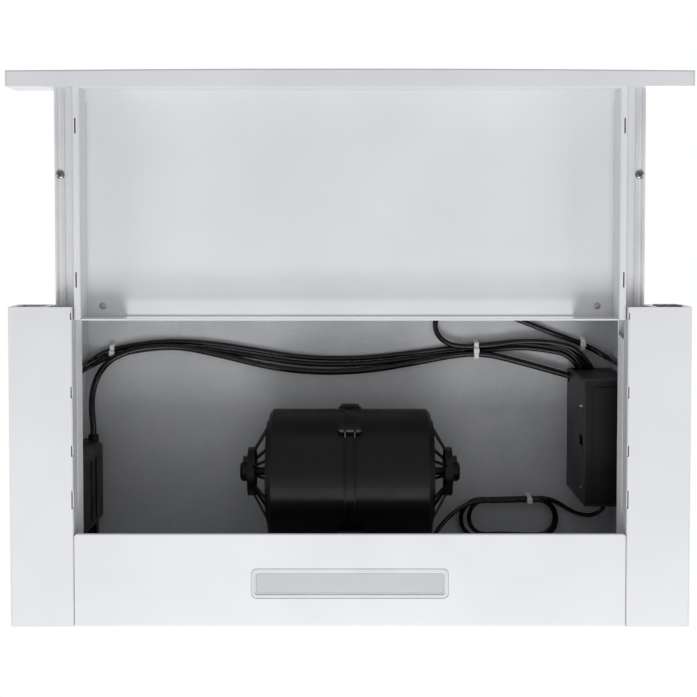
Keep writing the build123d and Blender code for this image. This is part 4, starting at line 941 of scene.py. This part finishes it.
@dataclass
class Wiring:
    """The cables of the hood, all held between its boxes, its walls and its ties."""

    # The faces of the housing's side walls, half its depth, and the cables' room beside the walls
    wall_in: float = 264.0
    wall_out: float = 265.0
    half_depth: float = 141.0
    room_in: float = 1.2
    room_out: float = 1.9
    # The switches outside the walls, and how high each cable enters its own
    switch_x: float = 281.5
    switch_z: float = -19.0
    switch_length: float = 29.0
    enter_rear: float = -8.5
    enter_front: float = 2.5
    enter_speed: float = 1.0
    # The terminal box and the control box
    terminal_front: float = 0.0
    box_front: float = -68.0
    box_rear: float = 52.0
    box_width: float = 44.5
    box_wall: float = 2.0
    # The heights of the upper and the lower layer of cables
    high: float = 135.7
    level: float = 129.3
    # The cables' diameters
    thin: float = 5.2
    thick: float = 6.3
    lamp_lead: float = 4.2
    # The hank: its ends, its tied side, its top, its step down, and each turn's radius and bow
    hank_right: float = 188.0
    hank_left: float = 132.0
    hank_y: float = 64.0
    hank_level: float = 135.5
    hank_step: float = 4.8
    hank_shift: float = 5.0
    hank_turns: tuple[tuple[float, float], ...] = ((20.0, 1.5), (17.5, -1.5))
    run_in: float = 16.0
    run_out: float = 14.0
    # Shares of a tied run and of its step down
    tied: tuple[tuple[float, float], ...] = ((0.15, 0.0), (0.5, 0.5), (0.85, 1.0))
    lamp_end: Point = (40.0, 102.8, -25.0)

    def build(self) -> None:
        """Lay the five cables."""
        rear = self.switch_route(self.light_rear(), -1, self.enter_rear)
        front = self.switch_route(self.light_front(), -1, self.enter_front)
        speed = self.switch_route(self.speed(), 1, self.enter_speed)
        for cord in (
            Cord("supply_cord", "supply_cable", self.supply(), self.thick, length=555.0),
            Cord("light_cord_rear", "light_cable_rear", rear, self.thin, length=696.0),
            Cord("light_cord_front", "light_cable_front", front, self.thin, length=689.0),
            Cord("speed_cord", "speed_switch_cable", speed, self.thin, length=551.0),
            Cord("lamp_cord", "lamp_cable", self.lamp(), self.lamp_lead, length=807.0),
        ):
            cord.build()

    def supply(self) -> list[Point]:
        """Lead the supply along the blower's front, from the terminal box to the control box.

        Returns:
            The points of its route.
        """
        level = self.level
        return [
            (-253.5, self.terminal_front, 108), (-253.5, -14, 108), (-256, -29, 111.5),
            (-256.6, -46, 118.5), (-251.5, -64, 124.5), (-238.5, -79, 127.3), (-213, -88.5, 128.3),
            (-172, -91, 129.2), (-128, -81.5, 129), (-80, -69.5, 128.6), (-30, -64, 128.8),
            (22, -66.5, 129.2), (72, -75.5, level), (112, -83.2, level), (138, -82.8, level),
            (160, -77.5, 129), (190, -69.5, 129),
            (self.wall_in - self.box_width + self.box_wall, -60.5, 129),
        ]

    def light_rear(self) -> list[Point]:
        """Lead the rear cable of the light switch from the left wall to the control box.

        Returns:
            The points of its route.
        """
        high = self.high
        return [
            (-259.8, -70.4, 121.5), (-255, -73.2, 130), (-246.6, -78, 134.8), (-228, -83.2, high),
            (-192, -89, high), (-148, -88, 135.2), (-100, -80.5, 135), (-48, -72, 135.2),
            (8, -71.2, high), (64, -77.5, high), (112, -83.2, high), (140, -85.8, high),
            (170, -89.2, 134.8), (198, -86.4, 133), (222, -81.5, 131.6),
            (231.5, self.box_front + self.box_wall, 131),
        ]

    def light_front(self) -> list[Point]:
        """Lead the front cable of the light switch from the left wall to the control box.

        Returns:
            The points of its route.
        """
        high = self.high
        return [
            (-259.8, -76.6, 121.5), (-255, -79.4, 130), (-246.6, -84.2, 134.8), (-228, -89.4, high),
            (-190, -95, high), (-146, -94, 135.2), (-98, -86.6, 135), (-46, -78.1, 135.2),
            (10, -77.3, high), (66, -83.6, high), (114, -89.4, high), (142, -91.9, high),
            (172, -95.6, 134.8), (202, -92.8, 133), (227, -86, 131.6),
            (237.8, self.box_front + self.box_wall, 131),
        ]

    def speed(self) -> list[Point]:
        """Lead the speed switch's cable from the right wall, in a wide bow, to the control box.

        Returns:
            The points of its route.
        """
        return [
            (259.8, -77.8, 121.5), (255.2, -80.8, 130), (247, -85.8, 134.8), (230, -94, self.high),
            (203, -103.5, self.high), (174, -115, 135), (146, -125.5, 134.4), (121, -130, 133.8),
            (99.5, -130, 133), (90.6, -125.2, 132.4), (85.4, -116.4, 131.8), (85.6, -106.4, 131),
            (90.8, -98, 130.4), (99.4, -92.6, 129.8), (112, -89.9, self.level), (142, -91.5, 129),
            (172, -96, 128), (205, -94.8, 126.8), (232, -86.5, 125.2),
            (243, self.box_front + self.box_wall, 124.6),
        ]

    def lamp(self) -> list[Point]:
        """Lead the lamp's cable from the control box, round its hank, down behind the lamp panel.

        Returns:
            The points of its route.
        """
        first = [
            (256, self.box_rear - self.box_wall, 126), (258, 62, 127), (254.5, 74.5, 129),
            (243, 81.5, 131), (226, 79, 133),
            (self.hank_right + self.run_in, self.hank_y, self.hank_level),
        ]
        bottom = self.hank_level - (len(self.hank_turns) + 1) * self.hank_step
        last = [
            (126, self.hank_y, bottom), (108, 71, 118.5), (90, 85, 109), (77, 101, 94),
            (63, 110.5, 74), (52, 112, 50), (45, 108.5, 26), (41, 104, 2), self.lamp_end,
        ]
        return first + self.hank() + last

    def hank(self) -> list[Point]:
        """Lay the lamp's spare cable in long loops under one another, tied along one side.

        Returns:
            The points of its route.
        """
        points = []
        for turn, (radius, bow) in enumerate(self.hank_turns):
            left = self.hank_left + self.hank_shift * turn
            points += self.descent(turn, left)
            low = self.hank_level - self.hank_step * (turn + 1)
            middle = self.hank_y + radius
            points += self.bend(left, middle, low, radius, -1)
            back = self.hank_y + 2 * radius
            points += [(left + self.run_out, back + bow, low),
                       (self.hank_right - self.run_in, back, low)]
            points += list(reversed(self.bend(self.hank_right, middle, low, radius, 1)))
        count = len(self.hank_turns)
        return points + self.descent(count, self.hank_left + self.hank_shift * count)

    def descent(self, turn: int, left: float) -> list[Point]:
        """Lay one tied run of the hank, which drops by a step on its way to the left.

        Args:
            turn: The number of the turn, from the top.
            left: Where it ends.

        Returns:
            Its points.
        """
        high = self.hank_level - self.hank_step * turn
        run = self.hank_right - left
        return [(self.hank_right - run * along, self.hank_y, high - self.hank_step * drop)
                for along, drop in self.tied]

    def bend(self, x: float, y: float, z: float, radius: float, side: int) -> list[Point]:
        """Turn half round with four points, which a spline of order 3 rounds to a half circle.

        Args:
            x: The turn's centre along X.
            y: The same along Y.
            z: Its height.
            radius: Its radius.
            side: The side that it bulges to, -1 or 1.

        Returns:
            The points, from front to rear.
        """
        reach = radius / math.cos(math.pi / 8)
        turns = [math.radians(turn) for turn in (-67.5, -22.5, 22.5, 67.5)]
        return [(x + side * reach * math.cos(turn), y + reach * math.sin(turn), z)
                for turn in turns]

    def down_wall(self, side: int, y: float, depth: float) -> list[Point]:
        """Lead a switch's cable down the wall, out through it, and to the switch.

        Args:
            side: The side of the hood, -1 or 1.
            y: Where the cable comes to the wall.
            depth: How high it enters the switch, from the switch's middle.

        Returns:
            The points of this hidden end.
        """
        out = self.wall_out + self.thin / 2 + self.room_out
        inside = self.wall_in - self.thin / 2 - self.room_in
        low = self.switch_z + depth
        rear = self.switch_length - self.half_depth
        points = [
            (inside, y - 0.4, 104), (inside + 0.2, y, 74), (inside, y + 0.3, 45), (inside, y, 28),
            (out, y, 8), (out + 0.2, y - 0.2, low + 12.5), (out + 0.9, y - 4.6, low + 4.4),
            (out + 3.4, y - 12.4, low), (self.switch_x, rear + 11, low), (self.switch_x, rear, low),
        ]
        return [(side * px, py, pz) for px, py, pz in points]

    def switch_route(self, inside: list[Point], side: int, depth: float) -> list[Point]:
        """Put the hidden end before the rest of a switch's cable.

        Args:
            inside: The route from the wall to the control box.
            side: The side of the hood, -1 or 1.
            depth: How high the cable enters the switch.

        Returns:
            The whole route, from the switch to the control box.
        """
        hidden = self.down_wall(side, inside[0][1] + 0.2, depth)
        return list(reversed(hidden)) + inside


@dataclass
class SeamBand:
    """The raised edges of the blower's middle ring: two fine ridges round its underside."""

    apart: float = 9.0
    wide: float = 1.5
    high: float = 1.3
    # How deep the foot is sunk into the ring, and how wide the crest is against the foot
    sunk: float = 0.6
    crest: float = 0.6
    # Where the ridges begin and end, in degrees about the shaft, their steps, and how far to each
    # side a step looks for the ring's edge, in radians
    first: float = 227.0
    last: float = 306.0
    steps: int = 26
    look: float = 0.06

    def build(self) -> None:
        """Lay a ridge on each edge of the ring, along the ring's own outline."""
        shape = bmesh.new()
        line = self.outline()
        foot = self.wide / 2
        top = foot * self.crest
        section = ((-foot, -self.sunk), (foot, -self.sunk), (top, self.high), (-top, self.high))
        for side in (-1, 1):
            sweep(shape, side * self.apart / 2, line, section)
        slot = Slot.BLACK_PLASTIC
        place_piece("seam_ridges", dressed_mesh("seam_ridges", shape, slot), "chassis", [])
        log.info("seam ridges: 2")

    def outline(self) -> list[Vector]:
        """Find the ring's outline at even angles about the fan's shaft.

        Returns:
            Points in Y and Z, in millimetres.
        """
        corners = [v.co / MM for v in frame["nodes"]["motor_ring"].data.vertices]
        low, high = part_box("motor_shaft")
        middle = (Vector(low) + Vector(high)) / 2 / MM
        flat = [Vector((c.y - middle.y, c.z - middle.z)) for c in corners]
        line = []
        for step in range(self.steps + 1):
            turn = math.radians(self.first + (self.last - self.first) * step / self.steps)
            ahead = Vector((math.cos(turn), math.sin(turn)))
            near = [p for p in flat if p.length > 1 and abs(p.angle_signed(ahead)) < self.look]
            reach = max((p.length for p in near), default=0.0)
            line.append(ahead * reach + Vector((middle.y, middle.z)))
        return line


@dataclass
class CableTies:
    """The white nylon straps that hold the cables up to the ceiling, each with its lock below."""

    width: float = 4.4
    thick: float = 1.1
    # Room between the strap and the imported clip's faces
    room: float = 0.05
    foot: float = 6.0
    toe: float = 1.6
    corner: float = 1.2
    corner_steps: int = 6
    # The lock, how far it bites into the strap, and how much its edges are eased
    lock: Point = (5.4, 4.6, 2.6)
    bite: float = 0.4
    ease: float = 0.5
    sharp: float = 40.0

    def build(self) -> None:
        """Make a strap in place of each packed clip, as one piece."""
        shape = bmesh.new()
        solids = islands("cable_clips")
        wide, thick = self.width / 2, self.thick / 2
        section = ((-wide, -thick), (wide, -thick), (wide, thick), (-wide, thick))
        for corners in solids:
            low, high = (end / MM for end in ends(corners))
            middle = (low + high) / 2
            sweep(shape, middle.x, self.path(low, high), section)
            self.buckle(shape, middle, low.z)
        slot = Slot.WHITE_CLIP
        mesh = dressed_mesh("cable_ties", shape, slot, self.sharp)
        place_piece("cable_ties", mesh, "chassis", ["cable_clips"])
        log.info("cable ties: %d", len(solids))

    def path(self, low: Vector, high: Vector) -> list[Vector]:
        """Lead the strap from a foot, round under the cables, to a foot, with soft corners.

        Args:
            low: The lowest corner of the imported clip's box, in millimetres.
            high: The highest.

        Returns:
            The strap's centre line in Y and Z.
        """
        half = self.thick / 2 + self.room
        left, right = low.y + self.foot + half, high.y - self.foot - half
        top, under = high.z - half, low.z + half
        knees = [Vector(p) for p in (
            (left - self.toe, top), (left, top), (left, under),
            (right, under), (right, top), (right + self.toe, top))]
        line = [knees[0]]
        for before, knee, after in zip(knees, knees[1:], knees[2:]):
            start = knee + (before - knee).normalized() * self.corner
            end = knee + (after - knee).normalized() * self.corner
            for step in range(self.corner_steps + 1):
                t = step / self.corner_steps
                line.append(start * (1 - t) ** 2 + knee * 2 * t * (1 - t) + end * t * t)
        return line + [knees[-1]]

    def buckle(self, shape: bmesh.types.BMesh, middle: Vector, low: float) -> None:
        """Hang the lock under the strap: a small block with eased edges.

        Args:
            shape: The mesh that gets it.
            middle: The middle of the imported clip's box, in millimetres.
            low: The height of its underside.
        """
        size = Vector(self.lock)
        place = Vector((middle.x, middle.y, low - size.z / 2 + self.bite)) * MM
        matrix = Matrix.Translation(place) @ Matrix.Diagonal((*(size * MM), 1.0))
        block = bmesh.ops.create_cube(shape, size=1.0, matrix=matrix)
        edges = list(dict.fromkeys(
            edge for corner in block["verts"] for edge in corner.link_edges))
        bmesh.ops.bevel(shape, geom=edges, offset=self.ease * MM, segments=2, affect="EDGES",
                        profile=0.7)


@dataclass
class Studio:
    """A white studio: a pale floor far below the hood, soft lamps, and a camera that looks up."""

    floor_z: float = -1.7
    floor_size: float = 8.0
    floor_paint: Finish = PowderCoat("studio_floor_paint", "#f4f4f5", 0.7, shade="#f0f0f1")
    ambient: float = 0.28
    camera_place: Point = (0.0003, -0.21705, -1.1747)
    camera_tilt: float = 177.7
    lens_mm: float = 67.4
    sensor_mm: float = 36.0
    shift: tuple[float, float] = (-0.0026, -0.1092)
    nearest: float = 0.01
    # Name, place, target, size and power of each lamp
    lamps: list[tuple[str, Point, Point, float, float]] = field(default_factory=lambda: [
        ("lamp_above", (0.4, 0.6, 2.2), (0.0, 0.0, -1.7), 1.6, 45.0),
        ("lamp_front", (0.1, -1.3, -1.35), (0.0, 0.0, 0.0), 1.4, 0.8),
        ("lamp_rear", (0.0, 1.2, -1.38), (0.0, -0.1, 0.1), 0.9, 23.0),
        ("lamp_left", (-1.3, 0.0, -0.6), (0.0, 0.0, 0.05), 0.5, 3.5),
        ("lamp_right", (1.3, 0.0, -0.6), (0.0, 0.0, 0.05), 0.5, 3.5),
    ])

    def build(self) -> None:
        """Make the world, the floor, the lamps and the camera."""
        self.world()
        self.floor()
        for lamp in self.lamps:
            self.lamp(*lamp)
        self.camera()
        log.info("studio: %d lamps", len(self.lamps))

    def world(self) -> None:
        """Light all round, and white where the camera or a shiny surface looks past the hood."""
        world = bpy.data.worlds.new("studio_air")
        bpy.context.scene.world = world
        world.use_nodes = True
        tree = world.node_tree
        tree.nodes.clear()
        strength = add_node(tree, "ShaderNodeMix", {"data_type": "FLOAT"}, {
            "Factor": self.seen(tree), 2: self.ambient, 3: 1.0})
        air = add_node(tree, "ShaderNodeBackground", inputs={
            "Color": (1, 1, 1, 1), "Strength": strength.outputs[0]})
        add_node(tree, "ShaderNodeOutputWorld", inputs={"Surface": air.outputs["Background"]})

    def seen(self, tree: Tree) -> Socket:
        """Tell the rays that see the air itself from those that carry its light.

        Args:
            tree: The world's node tree.

        Returns:
            A socket that is 1 for camera, glossy and transmission rays, and else 0.
        """
        path = add_node(tree, "ShaderNodeLightPath").outputs
        found = path["Is Camera Ray"]
        for ray in ("Is Glossy Ray", "Is Transmission Ray"):
            found = add_node(tree, "ShaderNodeMath", {"operation": "MAXIMUM"}, {
                0: found, 1: path[ray]}).outputs["Value"]
        return found

    def floor(self) -> None:
        """Lay a plain pale floor with a fine, even grain."""
        mesh = bpy.data.meshes.new("studio_floor")
        half = self.floor_size / 2
        corners = [(-half, -half), (half, -half), (half, half), (-half, half)]
        mesh.from_pydata([(x, y, self.floor_z) for x, y in corners], [], [(0, 1, 2, 3)])
        floor = bpy.data.objects.new("studio_floor", mesh)
        bpy.context.scene.collection.objects.link(floor)
        mesh.materials.append(self.floor_paint.material())

    def lamp(self, name: str, place: Point, target: Point, size: float, power: float) -> None:
        """Hang a square soft lamp.

        Args:
            name: The lamp's name.
            place: Where it hangs.
            target: What it is aimed at.
            size: The length of its sides.
            power: Its power in watts.
        """
        light = bpy.data.lights.new(name, "AREA")
        light.size = size
        light.energy = power
        lamp = bpy.data.objects.new(name, light)
        bpy.context.scene.collection.objects.link(lamp)
        lamp.location = place
        lamp.rotation_euler = (Vector(target) - Vector(place)).to_track_quat("-Z", "Y").to_euler()

    def camera(self) -> None:
        """Put the camera below the hood, looking up, the room side at the picture's top."""
        data = bpy.data.cameras.new("camera")
        data.lens = self.lens_mm
        data.sensor_width = self.sensor_mm
        data.shift_x, data.shift_y = self.shift
        data.clip_start = self.nearest
        camera = bpy.data.objects.new("camera", data)
        bpy.context.scene.collection.objects.link(camera)
        camera.location = self.camera_place
        camera.rotation_euler = (math.radians(self.camera_tilt), 0.0, 0.0)
        bpy.context.scene.camera = camera


def main() -> None:
    """Dress the hood and build its studio."""
    logging.basicConfig(level=logging.INFO, format="%(name)s: %(message)s")
    bpy.context.scene.view_settings.view_transform = "Standard"
    dress_nodes()
    for assembly in (Fasteners(), SeamBand(), Wiring(), CableTies(), Studio()):
        assembly.build()


if __name__ == "__main__":
    main()
